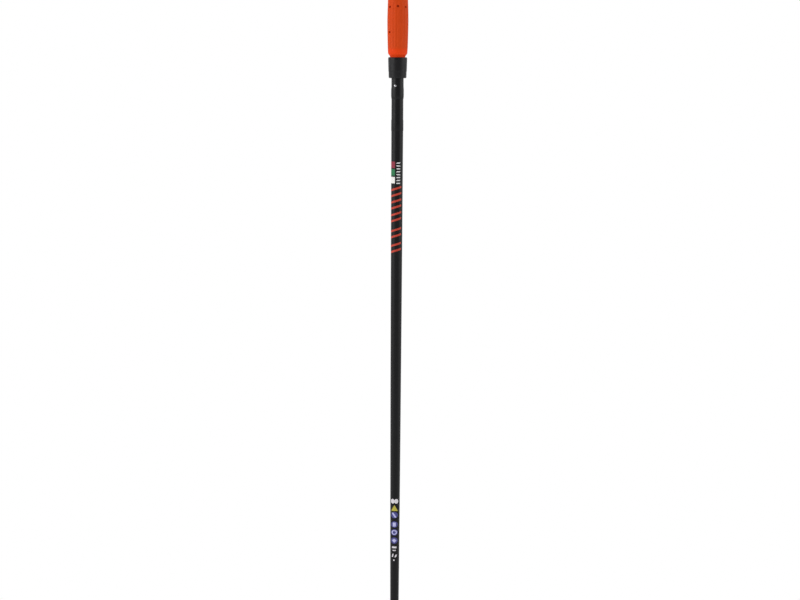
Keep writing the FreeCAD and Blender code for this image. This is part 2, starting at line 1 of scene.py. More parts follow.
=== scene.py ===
"""Ski pole: fluted grip, wrist loop with its wedge lock, tapered tube, ferrule and snow basket.

Shapes are made in millimetres and scaled to metres when a piece is finished. +Z runs up the pole,
-Y is the front, and a turn is counted in degrees from the front towards -X.
"""
import logging
import math
from dataclasses import dataclass, field
from enum import Enum
from itertools import accumulate
from typing import Any, Callable, Iterable, Optional, Sequence

import bmesh
import bpy
from bmesh.types import BMesh
from mathutils import Matrix, Vector
from mathutils.geometry import interpolate_bezier


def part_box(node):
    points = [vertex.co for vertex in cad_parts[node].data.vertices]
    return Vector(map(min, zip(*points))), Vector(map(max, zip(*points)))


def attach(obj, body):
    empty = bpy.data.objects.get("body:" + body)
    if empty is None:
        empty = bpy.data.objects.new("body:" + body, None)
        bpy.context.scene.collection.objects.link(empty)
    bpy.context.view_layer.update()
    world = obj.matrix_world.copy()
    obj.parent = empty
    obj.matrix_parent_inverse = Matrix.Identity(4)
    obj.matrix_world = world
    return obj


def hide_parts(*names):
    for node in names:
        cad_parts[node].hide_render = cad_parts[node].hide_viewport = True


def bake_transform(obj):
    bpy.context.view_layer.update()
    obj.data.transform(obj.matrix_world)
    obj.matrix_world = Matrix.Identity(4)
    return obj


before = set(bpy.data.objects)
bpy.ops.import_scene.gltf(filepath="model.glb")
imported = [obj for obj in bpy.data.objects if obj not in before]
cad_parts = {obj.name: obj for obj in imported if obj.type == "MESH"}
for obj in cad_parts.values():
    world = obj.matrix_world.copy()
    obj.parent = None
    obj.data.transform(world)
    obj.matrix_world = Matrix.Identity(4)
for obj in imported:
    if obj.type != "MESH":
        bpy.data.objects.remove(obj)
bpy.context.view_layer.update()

MM = 0.001
FULL_TURN = 2 * math.pi
ARC_HANDLE = 0.5523  # handle length that makes a Bezier quarter turn round
SKIN = 0.05  # depth in mm down to which a vertex counts as on the outside
LOG = logging.getLogger("ski_pole")

Colour = tuple[float, float, float, float]
Output = tuple[bpy.types.Node, Any]  # a node, and the name or number of one of its outputs
Links = dict[Any, Output]
Flat = list[tuple[float, float]]  # a flat outline: how far across and how far up each corner is


# ------------------------------------------------------------------ colours and nodes


def linear(code: str) -> Colour:
    """Turn an sRGB hex colour to linear light.

    Args:
        code: the colour, such as "#1b1b1d".

    Returns:
        Red, green, blue and alpha.
    """
    channels = [int(code[start:start + 2], 16) / 255 for start in (1, 3, 5)]
    red, green, blue = [c / 12.92 if c <= 0.04045 else ((c + 0.055) / 1.055) ** 2.4 for c in channels]
    return red, green, blue, 1.0


def per_metre(size_mm: float) -> float:
    """Scale at which a noise or cell texture has features of a size in mm."""
    return 1 / (size_mm * MM)


def band_scale(period_mm: float) -> float:
    """Scale at which a wave texture repeats every so many mm."""
    return 0.1 * math.pi / (period_mm * MM)


def empty_tree(owner: bpy.types.ID) -> bpy.types.NodeTree:
    """Turn on the nodes of a material or world, and clear them.

    Args:
        owner: the material or world.

    Returns:
        Its empty node tree.
    """
    owner.use_nodes = True
    owner.node_tree.nodes.clear()
    return owner.node_tree


def add_node(tree: bpy.types.NodeTree, kind: str, settings: Optional[dict[Any, Any]] = None,
             links: Optional[Links] = None) -> bpy.types.Node:
    """Add one node to a tree.

    Args:
        tree: the material's or world's node tree.
        kind: Blender's name for the node's type.
        settings: node attributes, or input names or numbers, and their values.
        links: input name or number, and the node and output that feed it.

    Returns:
        The new node.
    """
    node = tree.nodes.new(kind)
    for key, value in (settings or {}).items():
        if isinstance(key, str) and hasattr(node, key):
            setattr(node, key, value)
        else:
            node.inputs[key].default_value = value
    for key, (source, output) in (links or {}).items():
        tree.links.new(source.outputs[output], node.inputs[key])
    return node


class Grain(Enum):
    """How a surface's fine relief runs."""

    EVEN = (1.0, 1.0, 1.0)
    ROUND_THE_AXIS = (0.04, 0.04, 1.0)
    ALONG_THE_AXIS = (1.0, 1.0, 0.04)


@dataclass(frozen=True)
class Finish:
    """A real material's surface: two close tones, its gloss, and a fine relief.

    Sizes are in mm. The tone patches also make the gloss a little uneven.
    """

    name: str
    tone: str
    second_tone: str
    roughness: float
    gloss_swing: float = 0.05
    patch: float = 16.0
    grain: float = 0.5
    relief: float = 0.01
    run: Grain = Grain.EVEN
    metallic: float = 0.0
    specular: float = 0.5
    sheen: float = 0.0
    coat: float = 0.0
    coat_roughness: float = 0.2

    def start(self) -> tuple[bpy.types.Material, bpy.types.NodeTree, bpy.types.Node]:
        """Make an empty material with its shader, whose constants are set on its own sockets.

        Returns:
            The material, its node tree and its shader node.
        """
        material = bpy.data.materials.new(self.name)
        tree = empty_tree(material)
        shader = add_node(tree, "ShaderNodeBsdfPrincipled", {
            "Metallic": self.metallic, "Sheen Weight": self.sheen, "Coat Weight": self.coat,
            "Coat Roughness": self.coat_roughness, "Specular IOR Level": self.specular})
        add_node(tree, "ShaderNodeOutputMaterial", links={"Surface": (shader, "BSDF")})
        return material, tree, shader

    def tones(self, tree: bpy.types.NodeTree, where: Output) -> bpy.types.Node:
        """Mix the two tones in soft patches.

        Args:
            tree: the material's node tree.
            where: the coordinates that the pattern reads.

        Returns:
            The node that mixes them.
        """
        patches = add_node(tree, "ShaderNodeTexNoise",
                           {"Scale": per_metre(self.patch), "Detail": 4.0, "Roughness": 0.6},
                           {"Vector": where})
        return add_node(tree, "ShaderNodeMix",
                        {"data_type": "RGBA", 6: linear(self.tone), 7: linear(self.second_tone)},
                        {0: (patches, "Fac")})

    def gloss(self, tree: bpy.types.NodeTree, where: Output) -> bpy.types.Node:
        """Let the roughness wander a little from place to place.

        Args:
            tree: the material's node tree.
            where: the coordinates that the pattern reads.

        Returns:
            The node that gives the roughness.
        """
        smears = add_node(tree, "ShaderNodeTexNoise",
                          {"Scale": per_metre(self.patch * 0.4), "Detail": 5.0}, {"Vector": where})
        return add_node(tree, "ShaderNodeMapRange",
                        {"From Min": 0.3, "From Max": 0.7,
                         "To Min": self.roughness - self.gloss_swing,
                         "To Max": self.roughness + self.gloss_swing}, {"Value": (smears, "Fac")})

    def relief_height(self, tree: bpy.types.NodeTree, where: Output) -> Output:
        """Height of the fine relief, from 0 to 1.

        Args:
            tree: the material's node tree.
            where: the coordinates that the pattern reads.

        Returns:
            The node and output that give the height.
        """
        turned_grain = add_node(tree, "ShaderNodeMapping", {"Scale": self.run.value},
                                {"Vector": where})
        grain = add_node(tree, "ShaderNodeTexNoise",
                         {"Scale": per_metre(self.grain), "Detail": 3.0, "Roughness": 0.55},
                         {"Vector": (turned_grain, "Vector")})
        return grain, "Fac"

    def material(self) -> bpy.types.Material:
        """Build the finish.

        Returns:
            The material, with nothing linked to the sockets that stay the same all over.
        """
        material, tree, shader = self.start()
        where = (add_node(tree, "ShaderNodeTexCoord"), "Object")
        tree.links.new(self.tones(tree, where).outputs[2], shader.inputs["Base Color"])
        tree.links.new(self.gloss(tree, where).outputs[0], shader.inputs["Roughness"])
        bump = add_node(tree, "ShaderNodeBump", {"Strength": 1.0, "Distance": self.relief * MM},
                        {"Height": self.relief_height(tree, where)})
        tree.links.new(bump.outputs["Normal"], shader.inputs["Normal"])
        return material


@dataclass(frozen=True)
class ElastomerWithPaintedHeelHighlight(Finish):
    """Grip elastomer whose smooth heel ring is painted a brighter, purer orange than the fluted handle, a
    painted highlight for the glints on its rounding.
    """

    painted_heel_highlight: str = "#de3e06"
    heel_top: float = 1060.0
    heel_fade: float = 5.0

    def tones(self, tree: bpy.types.NodeTree, where: Output) -> bpy.types.Node:
        """Mix in the painted heel highlight below the heel's edge.

        Args:
            tree: the material's node tree.
            where: the coordinates that the pattern reads.

        Returns:
            The node that mixes the heel's tone with the others.
        """
        handle = super().tones(tree, where)
        height = add_node(tree, "ShaderNodeSeparateXYZ", links={0: where})
        # painted highlight: the heel ring below heel_top takes the brighter heel colour
        below = add_node(tree, "ShaderNodeMapRange",
                         {"From Min": self.heel_top * MM,
                          "From Max": (self.heel_top + self.heel_fade) * MM,
                          "To Min": 1.0, "To Max": 0.0}, {"Value": (height, "Z")})
        return add_node(tree, "ShaderNodeMix", {"data_type": "RGBA", 7: linear(self.painted_heel_highlight)},
                        {0: (below, 0), 6: (handle, 2)})


@dataclass(frozen=True)
class Webbing(Finish):
    """Herringbone polyester webbing. Its pattern follows the band's UV map, which is in metres."""

    thread: float = 0.9
    herringbone: float = 2.25
    rib_share: float = 0.7

    def tones(self, tree: bpy.types.NodeTree, where: Output) -> bpy.types.Node:
        """Paint shade into the gaps between the threads and a highlight onto their crowns, following the
        relief height.

        Args:
            tree: the material's node tree.
            where: the coordinates that the pattern reads.

        Returns:
            The node that mixes the two tones.
        """
        # the relief height picks the tone: painted highlight on the thread crowns, painted shade in the
        # gaps
        painted_light_mask, output = self.relief_height(tree, where)
        return add_node(tree, "ShaderNodeMix",
                        {"data_type": "RGBA", 6: linear(self.second_tone), 7: linear(self.tone)},
                        {0: (painted_light_mask, output)})

    def relief_height(self, tree: bpy.types.NodeTree, where: Output) -> Output:
        """Slanted ribs that change side every few threads, each split into stitches.

        Args:
            tree: the material's node tree.
            where: not used; the pattern reads the band's UV map.

        Returns:
            The node and output that give the height.
        """
        flat = add_node(tree, "ShaderNodeUVMap", {"uv_map": "band"})
        sides = add_node(tree, "ShaderNodeSeparateXYZ", links={0: (flat, "UV")})
        folded = add_node(tree, "ShaderNodeMath", {"operation": "PINGPONG", 1: self.herringbone * MM},
                          {0: (sides, "X")})
        slanted = add_node(tree, "ShaderNodeCombineXYZ", links={0: (folded, 0), 1: (sides, "Y")})
        ribs = add_node(tree, "ShaderNodeTexWave",
                        {"bands_direction": "DIAGONAL", "Scale": band_scale(self.thread) * 2,
                         "Distortion": 0.4, "Detail": 1.0}, {"Vector": (slanted, "Vector")})
        crossing = add_node(tree, "ShaderNodeTexWave",
                            {"bands_direction": "Y", "Scale": band_scale(self.thread)},
                            {"Vector": (flat, "UV")})
        stitched = add_node(tree, "ShaderNodeMath", {"operation": "MULTIPLY", 1: 1 - self.rib_share},
                            {0: (crossing, "Fac")})
        woven = add_node(tree, "ShaderNodeMath", {"operation": "MULTIPLY_ADD", 1: self.rib_share},
                         {0: (ribs, "Fac"), 2: (stitched, 0)})
        return woven, 0


@dataclass(frozen=True)
class Knit(Finish):
    """Brushed knit lining: small raised cells with a soft sheen."""

    def relief_height(self, tree: bpy.types.NodeTree, where: Output) -> Output:
        """Rounded cells a stitch wide."""
        return add_node(tree, "ShaderNodeTexVoronoi", {"Scale": per_metre(self.grain)},
                        {"Vector": where}), "Distance"


# Thermoplastic elastomer moulded over the core: matt, with a fine even grain.
# The grip's heel ring is painted brighter than the handle: a painted highlight.
GRIP_ELASTOMER = ElastomerWithPaintedHeelHighlight("thermoplastic_elastomer_orange", "#c63e08", "#cc440e", 0.55,
                                   grain=0.35, relief=0.03, patch=30.0, specular=0.12)
# Glass-filled nylon: hard and satin, slightly greyer where the flow marks gather.
CAP_NYLON = Finish("moulded_nylon_black", "#1d1d1f", "#232325", 0.42, grain=0.4, relief=0.012)
CORE_POLYPROPYLENE = Finish("moulded_polypropylene_grey", "#2b2b2d", "#323234", 0.5, relief=0.01)
COLLAR_POLYPROPYLENE = Finish("moulded_polypropylene_black", "#151516", "#19191a", 0.42,
                              grain=0.45, relief=0.012, specular=0.22)
WEDGE_NYLON = Finish("moulded_nylon_charcoal", "#262628", "#2d2d2f", 0.45, relief=0.012)
# Heat-shrunk vinyl: smooth and satin, with faint stretch lines along the tube.
SHRUNK_VINYL = Finish("shrunk_vinyl_black", "#111112", "#151516", 0.36, grain=1.2, relief=0.006,
                      run=Grain.ALONG_THE_AXIS, specular=0.22)
WRAPPED_VINYL = Finish("vinyl_film_black", "#111112", "#141415", 0.4, grain=1.5, relief=0.01,
                       specular=0.2)
# Stoved enamel over aluminium tube: satin, with a very low orange peel.
TUBE_ENAMEL = Finish("stoved_enamel_black", "#101011", "#131314", 0.34, gloss_swing=0.03,
                     patch=40.0, grain=1.6, relief=0.004, specular=0.2)
PLUG_POLYETHYLENE = Finish("moulded_polyethylene_grey", "#3a3a3c", "#424244", 0.55)
# Aluminium rivet, headed and tumbled bright.
POLISHED_ALUMINIUM = Finish("polished_aluminium", "#c2c2c4", "#b6b6b9", 0.24, gloss_swing=0.04,
                            patch=2.0, grain=0.25, relief=0.002, metallic=1.0)
# Zinc-plated steel, with turning lines round each head.
ZINC_PLATED_STEEL = Finish("zinc_plated_steel", "#c4c5c6", "#b4b5b8", 0.3, patch=3.0, grain=0.2,
                           relief=0.003, run=Grain.ROUND_THE_AXIS, metallic=1.0)
# Sintered hard metal: dark grey and finely ground.
HARD_METAL = Finish("ground_hard_metal", "#8d8e92", "#7a7b80", 0.34, patch=2.0, grain=0.18,
                    relief=0.003, run=Grain.ROUND_THE_AXIS, metallic=1.0)
# Spring steel, blackened in oil: metal with a thin dark skin.
BLACKENED_STEEL = Finish("oil_blackened_spring_steel", "#3c3d40", "#2e2f31", 0.38, patch=3.0,
                         grain=0.3, relief=0.004, metallic=1.0)
FERRULE_NYLON = Finish("moulded_nylon_ferrule", "#1e1e20", "#29292b", 0.46, gloss_swing=0.08,
                       patch=9.0, grain=0.4, relief=0.016)
# Natural rubber with carbon black: matt, a little dusty.
HUB_RUBBER = Finish("vulcanised_rubber_black", "#1b1b1c", "#242425", 0.72, patch=7.0, grain=0.5,
                    relief=0.02, specular=0.3)
# Low-density polyethylene: waxy and satin.
BASKET_POLYETHYLENE = Finish("moulded_polyethylene_black", "#1a1b1d", "#212224", 0.44, patch=20.0,
                             grain=0.6, relief=0.014, specular=0.45)
# Black webbing: its lighter tone is a painted highlight on the thread crowns and its darker tone painted
# shade in the gaps.
STRAP_WEBBING = Webbing("polyester_webbing_black", "#26262a", "#0c0c0d", 0.72, relief=0.16,
                        specular=0.25, sheen=0.25)
PAD_LINING = Knit("brushed_knit_lining", "#2c2c30", "#222226", 0.85, grain=0.9, relief=0.12,
                  specular=0.2, sheen=0.45)
KEEPER_NYLON = Finish("moulded_nylon_keeper", "#232325", "#2a2a2c", 0.42, relief=0.01)
# Bonded polyester thread, lightly twisted.
SEWING_THREAD = Finish("bonded_polyester_thread", "#4a4a50", "#3c3c42", 0.6, patch=1.5, grain=0.3,
                       relief=0.03, specular=0.3)


def ink(name: str, tone: str, second_tone: str) -> Finish:
    """Screen-printed ink: flat, slightly uneven where the mesh laid it down."""
    return Finish(f"screen_ink_{name}", tone, second_tone, 0.5, patch=2.5, grain=0.4, relief=0.004,
                  specular=0.35)


# ------------------------------------------------------------------ shaping


@dataclass(frozen=True)
class Corner:
    """One corner of a flat outline, in mm.

    Attributes:
        across: distance from the axis, or the level place in the outline's plane.
        up: height.
        ease: length taken off each side to round the corner.
    """

    across: float
    up: float
    ease: float = 0.0


def rounded(corners: Sequence[Corner], closed: bool = True, steps: int = 4) -> list[Vector]:
    """Draw an outline's corners, the eased ones as arcs.

    Args:
        corners: the outline's corners in order.
        closed: whether the last corner joins the first.
        steps: straight pieces in each arc.

    Returns:
        Points in the XZ plane.
    """
    spots = [Vector((corner.across, 0, corner.up)) for corner in corners]
    points: list[Vector] = []
    for index, (corner, spot) in enumerate(zip(corners, spots)):
        loose_end = not closed and index in (0, len(corners) - 1)
        if not corner.ease or loose_end:
            points.append(spot)
            continue
        after = spots[(index + 1) % len(spots)]
        start = spot + (spots[index - 1] - spot).normalized() * corner.ease
        end = spot + (after - spot).normalized() * corner.ease
        points += interpolate_bezier(start, start.lerp(spot, ARC_HANDLE), end.lerp(spot, ARC_HANDLE),
                                     end, steps + 1)
    return points


def to_data(mesh: BMesh, name: str) -> bpy.types.Mesh:
    """Write a working mesh to mesh data.

    Args:
        mesh: the working mesh, which is freed.
        name: the data's name.

    Returns:
        The mesh data.
    """
    data = bpy.data.meshes.new(name)
    mesh.to_mesh(data)
    mesh.free()
    return data


def linked(name: str, data: bpy.types.ID) -> bpy.types.Object:
    """Make an object and put it in the scene.

    Args:
        name: the object's name.
        data: its mesh, light or camera data.

    Returns:
        The object.
    """
    item = bpy.data.objects.new(name, data)
    bpy.context.scene.collection.objects.link(item)
    return item


def thickened(mesh: BMesh, along: Sequence[float]) -> BMesh:
    """Extrude a flat mesh into a solid.

    Args:
        mesh: the flat mesh.
        along: the way and distance to the far side.

    Returns:
        The same mesh.
    """
    grown = bmesh.ops.extrude_face_region(mesh, geom=mesh.faces[:])
    far_side = [item for item in grown["geom"] if isinstance(item, bmesh.types.BMVert)]
    bmesh.ops.translate(mesh, vec=along, verts=far_side)
    return mesh


def seal(mesh: BMesh) -> BMesh:
    """Merge doubles and point every face outwards.

    Args:
        mesh: the mesh to close.

    Returns:
        The same mesh.
    """
    bmesh.ops.remove_doubles(mesh, verts=mesh.verts, dist=1e-3)
    bmesh.ops.recalc_face_normals(mesh, faces=mesh.faces)
    return mesh


def turned(corners: Sequence[Corner], closed: bool = True, steps: int = 96,
           round_steps: int = 4) -> BMesh:
    """Spin an outline about the Z axis.

    Args:
        corners: the outline, whose across is a radius.
        closed: True for a ring, False for a solid that starts and ends on the axis.
        steps: flats round the axis.
        round_steps: straight pieces in each rounded corner.

    Returns:
        A closed mesh in mm.
    """
    mesh = bmesh.new()
    line = [mesh.verts.new(point) for point in rounded(corners, closed, round_steps)]
    pairs = list(zip(line, line[1:])) + ([(line[-1], line[0])] if closed else [])
    edges = [mesh.edges.new(pair) for pair in pairs]
    bmesh.ops.spin(mesh, geom=line + edges, cent=(0, 0, 0), axis=(0, 0, 1), angle=FULL_TURN,
                   steps=steps, use_merge=True)
    return seal(mesh)


def bar(points: Sequence[Vector], along: Vector) -> BMesh:
    """Stretch a flat outline into a bar.

    Args:
        points: the outline of one end.
        along: the way and distance to the other end.

    Returns:
        A closed mesh in mm.
    """
    mesh = bmesh.new()
    mesh.faces.new([mesh.verts.new(point) for point in points])
    return seal(thickened(mesh, along))


def block(low: Sequence[float], high: Sequence[float], ease: float = 0.0) -> BMesh:
    """Box between two corners, with its edges rounded by a bevel.

    Args:
        low: its lowest corner.
        high: its highest corner.
        ease: width of the rounding, in mm.

    Returns:
        A closed mesh in mm.
    """
    mesh = bmesh.new()
    bmesh.ops.create_cube(mesh, size=1.0)
    size = [top - bottom for bottom, top in zip(low, high)]
    middle = [(top + bottom) / 2 for bottom, top in zip(low, high)]
    bmesh.ops.scale(mesh, vec=size, verts=mesh.verts)
    bmesh.ops.translate(mesh, vec=middle, verts=mesh.verts)
    return softened(mesh, ease, above=60.0) if ease else mesh


def softened(mesh: BMesh, width: float, above: float = 40.0, segments: int = 3,
             chosen: Callable[[bmesh.types.BMEdge], bool] = lambda edge: True) -> BMesh:
    """Round the edges that are sharper than an angle in degrees.

    Args:
        mesh: the mesh to change.
        width: width of the rounding, in mm.
        above: least angle between an edge's two faces.
        segments: straight pieces in the rounding.
        chosen: says which of the sharp edges to round.

    Returns:
        The same mesh.
    """
    limit = math.radians(above)
    sharp = [edge for edge in mesh.edges
             if edge.is_manifold and edge.calc_face_angle() > limit and chosen(edge)]
    bmesh.ops.bevel(mesh, geom=sharp, offset=width, offset_type="OFFSET", affect="EDGES",
                    segments=segments, profile=0.5, material=-1, clamp_overlap=True)
    return mesh


def placed(mesh: BMesh, spot: Vector, pointing: Vector = Vector((0, 0, 1))) -> BMesh:
    """Turn a mesh's own Z axis to point a given way, and move it to a spot.

    Args:
        mesh: the mesh to move.
        spot: where its origin goes.
        pointing: where its own Z axis goes.

    Returns:
        The same mesh.
    """
    turn = pointing.to_track_quat("Z", "Y").to_matrix().to_4x4()
    bmesh.ops.transform(mesh, matrix=Matrix.Translation(spot) @ turn, verts=mesh.verts)
    return mesh


def joined(parts: Iterable[BMesh]) -> BMesh:
    """Put several meshes into one, and free them.

    Args:
        parts: the meshes, which are freed.

    Returns:
        One mesh that holds them all.
    """
    whole = bmesh.new()
    for part in parts:
        data = to_data(part, "part")
        whole.from_mesh(data)
        bpy.data.meshes.remove(data)
    return whole


def carved(blank: BMesh, tool: BMesh) -> BMesh:
    """Take a tool's shape out of a blank.

    Args:
        blank: the mesh to cut.
        tool: the closed meshes to take away.

    Returns:
        The cut mesh. Both arguments are freed.
    """
    kept, taken = linked("blank", to_data(blank, "blank")), linked("tool", to_data(tool, "tool"))
    cut = kept.modifiers.new("cut", "BOOLEAN")
    cut.operation, cut.solver, cut.object = "DIFFERENCE", "EXACT", taken
    result = bmesh.new()
    result.from_object(kept, bpy.context.evaluated_depsgraph_get())
    for item in (kept, taken):
        bpy.data.meshes.remove(item.data)
    return seal(result)


def front_way(turn: float) -> Vector:
    """Level direction, turned in degrees from the front towards -X."""
    angle = math.radians(turn)
    return Vector((-math.sin(angle), -math.cos(angle), 0))


def between(low: float, high: float, spacing: float) -> list[float]:
    """Evenly spaced values from low up to, but not at, high."""
    count = max(1, round((high - low) / spacing))
    return [low + (high - low) * index / count for index in range(count)]


def eased_step(low: float, high: float, value: float) -> float:
    """Smooth step from 0 at low to 1 at high."""
    share = min(1.0, max(0.0, (value - low) / (high - low)))
    return share * share * (3 - 2 * share)


def smooth(places: Sequence[float], values: Sequence[float], at: float) -> float:
    """Read a smooth curve that runs through a few stations.

    Args:
        places: the stations' places, rising.
        values: the curve's value at each station.
        at: the place to read.

    Returns:
        The curve's value there.
    """
    last = len(places) - 1
    index = max(0, min(last - 1, sum(place <= at for place in places) - 1))

    def slope(number: int) -> float:
        """Slope at a station, from its neighbours."""
        lower, upper = max(number - 1, 0), min(number + 1, last)
        return (values[upper] - values[lower]) / (places[upper] - places[lower])

    width = places[index + 1] - places[index]
    share = (at - places[index]) / width
    rise = share * share * (3 - 2 * share)
    return (values[index] * (1 - rise) + values[index + 1] * rise
            + width * share * (1 - share) * ((1 - share) * slope(index) - share * slope(index + 1)))


def span(node: str) -> tuple[Vector, Vector]:
    """Lowest and highest corners of a CAD node, in mm."""
    low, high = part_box(node)
    return Vector(low) / MM, Vector(high) / MM


def levels(node: str) -> tuple[float, float]:
    """Lowest and highest level of a CAD node, in mm."""
    low, high = span(node)
    return low.z, high.z


# ------------------------------------------------------------------ pieces


@dataclass(frozen=True)
class Seat:
    """Where a piece belongs.

    Attributes:
        body: the CAD body that it moves with, or nothing for a piece that rides no body.
        slot: the record's material slot; not used.
        stands_for: the CAD nodes that it takes the place of.
    """

    body: str
    slot: str
    stands_for: tuple[str, ...] = ()


def finish_piece(name: str, mesh: BMesh, finish: Finish, seat: Seat, crease: float = 38.0,
                 settle: Optional[Callable[[bpy.types.Object], None]] = None) -> bpy.types.Object:
    """Make a dressed piece from a mesh in mm.

    Args:
        name: the piece's name.
        mesh: its shape, which is freed.
        finish: its finish.
        seat: where it belongs.
        crease: angle in degrees above which an edge looks sharp.
        settle: adds modifiers, which are then applied.

    Returns:
        The piece, riding its body.
    """
    bmesh.ops.scale(mesh, vec=(MM, MM, MM), verts=mesh.verts)
    piece = linked(name, to_data(mesh, name))
    if settle:
        settle(piece)
        settled = piece.evaluated_get(bpy.context.evaluated_depsgraph_get())
        shape = bpy.data.meshes.new_from_object(settled)
        piece.modifiers.clear()
        piece.data = shape
    data = piece.data
    data.shade_smooth()
    data.set_sharp_from_angle(angle=math.radians(crease))
    data.materials.clear()
    data.materials.append(bpy.data.materials.get(finish.name) or finish.material())
    if seat.stands_for:
        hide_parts(*seat.stands_for)
    if seat.body:
        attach(piece, seat.body)
    LOG.info("%s: %d faces, %s", name, len(data.polygons), finish.name)
    return piece


def dress_node(node: str, finish: Finish) -> None:
    """Give a CAD node its finish.

    Args:
        node: the CAD node's name.
        finish: its finish.
    """
    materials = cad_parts[node].data.materials
    material = bpy.data.materials.get(finish.name) or finish.material()
    for index in range(len(materials)):
        materials[index] = material
    if not materials:
        materials.append(material)
    LOG.info("%s: CAD node, %s", node, finish.name)


@dataclass(frozen=True)
class Station:
    """A level section of the grip: its rise above the grip's foot and its two half sizes."""

    rise: float
    half_width: float
    half_depth: float


@dataclass
class Grip:
    """Soft shell, fluted on the handle and oval at the head, over the hard core. Sizes in mm."""

    foot: float = field(init=False)
    top: float = field(init=False)
    sections: tuple[Station, ...] = (
        Station(1.6, 11.6, 11.6), Station(4, 13.5, 13.5), Station(5.4, 14.4, 14.4),
        Station(8.5, 14.75, 14.75), Station(12, 14.95, 14.95), Station(19, 15.2, 15.2),
        Station(33, 15.55, 15.55), Station(53, 15.9, 15.9), Station(70, 15.6, 15.6),
        Station(84, 15.2, 15.2), Station(90, 15.2, 15.2), Station(100, 15.8, 16.4),
        Station(115, 17.2, 20.2), Station(130, 19.0, 23.0), Station(140, 18.8, 22.6))
    core_radius: float = 10.4
    heel_rise: float = 2.2
    heel_top: float = 12.0
    hollow_rises: tuple[float, ...] = (130.0, 115.0, 100.0)
    hollow_foot: float = 90.0
    head_wall: float = 3.0
    flutes: int = 18
    steps_per_flute: int = 14
    flute_depth: float = 0.45
    flute_half_width: float = 1.55
    flute_turn: float = 4.0
    flute_low: float = 12.0
    flute_high: float = 84.0
    flute_fade: float = 5.0
    rib_depth: float = 0.28
    rib_pitch: float = 2.6
    rib_low: float = 80.0
    rib_high: float = 96.0
    rib_turn: float = 10.0
    rib_half_turn: float = 26.0
    rib_fade_turn: float = 5.0
    rib_fade: float = 1.5
    dimple_radius: float = 1.8
    dimple_floor: float = 12.0
    dimple_reach: float = 5.0
    front_dimple_rise: float = 76.1
    side_dimple_rise: float = 75.0
    side_dimples: int = 6
    low_dimple_rise: float = 37.5
    low_dimple_turns: tuple[float, float] = (53, 233)
    slot_half_width: float = 9.5
    slot_low: float = 125.6
    slot_height: float = 4.8
    slot_reach: float = 30.0

    def __post_init__(self) -> None:
        """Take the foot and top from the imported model."""
        self.foot, self.top = levels("grip_shell")

    def half_width(self, rise: float) -> float:
        """Half width of the skin at a rise."""
        return smooth([s.rise for s in self.sections], [s.half_width for s in self.sections], rise)

    def half_depth(self, rise: float) -> float:
        """Half depth of the skin at a rise."""
        return smooth([s.rise for s in self.sections], [s.half_depth for s in self.sections], rise)

    def flute(self, turn: float, rise: float) -> float:
        """Depth of the flutes at a turn and a rise.

        Args:
            turn: degrees round the grip.
            rise: height above its foot.

        Returns:
            The depth, 0 between the flutes.
        """
        pitch = 360 / self.flutes
        off = (turn - self.flute_turn + pitch / 2) % pitch - pitch / 2
        arc = math.radians(abs(off)) * self.half_width(rise)
        if arc > self.flute_half_width:
            return 0.0
        ends = (eased_step(self.flute_low, self.flute_low + self.flute_fade, rise)
                * (1 - eased_step(self.flute_high - self.flute_fade, self.flute_high, rise)))
        return self.flute_depth * ends * math.cos(math.pi / 2 * arc / self.flute_half_width) ** 2

    def rib(self, turn: float, rise: float) -> float:
        """Depth of the fine level ribs under the thumb.

        Args:
            turn: degrees round the grip.
            rise: height above its foot.

        Returns:
            The depth, 0 away from the ribs.
        """
        off = abs((turn - self.rib_turn + 180) % 360 - 180)
        sides = 1 - eased_step(self.rib_half_turn - self.rib_fade_turn, self.rib_half_turn, off)
        ends = (eased_step(self.rib_low, self.rib_low + self.rib_fade, rise)
                * (1 - eased_step(self.rib_high - self.rib_fade, self.rib_high, rise)))
        wave = 0.5 - 0.5 * math.cos(FULL_TURN * (rise - self.rib_low) / self.rib_pitch)
        return self.rib_depth * sides * ends * wave

    def blank(self) -> BMesh:
        """Turned shell whose rings are then made oval and fluted.

        Returns:
            The shell before its recesses are cut.
        """
        top = self.top - self.foot
        rises = (between(self.heel_rise, self.heel_top, 0.7) + between(self.heel_top, self.rib_low, 1.5)
                 + between(self.rib_low, self.rib_high, 0.5) + between(self.rib_high, top, 1.5))
        notch = self.sections[0]
        foot = [Corner(self.core_radius, 0), Corner(notch.half_width, 0, 0.3),
                Corner(notch.half_width, notch.rise, 0.3)]
        skin = [Corner(self.half_width(rise), rise) for rise in rises]
        rim = [Corner(self.half_width(top), top, 0.5)]
        inside = [Corner(self.half_width(rise) - self.head_wall, rise)
                  for rise in (top, *self.hollow_rises)] + [Corner(self.core_radius, self.hollow_foot)]
        mesh = turned(foot + skin + rim + inside, steps=self.flutes * self.steps_per_flute)
        for vert in mesh.verts:
            self.shape(vert)
        bmesh.ops.translate(mesh, vec=(0, 0, self.foot), verts=mesh.verts)
        return mesh

    def shape(self, vert: bmesh.types.BMVert) -> None:
        """Flute the skin at one vertex, and stretch its ring to the oval of its height.

        Args:
            vert: a vertex of the turned shell.
        """
        rise = vert.co.z
        radius = math.hypot(vert.co.x, vert.co.y)
        if rise <= self.sections[0].rise:
            return
        depth_in = self.half_width(rise) - radius
        stretch = (self.half_depth(rise) - depth_in) / radius
        if depth_in < SKIN:
            turn = math.degrees(math.atan2(-vert.co.x, -vert.co.y))
            vert.co.xy *= 1 - (self.flute(turn, rise) + self.rib(turn, rise)) / radius
        vert.co.y *= stretch

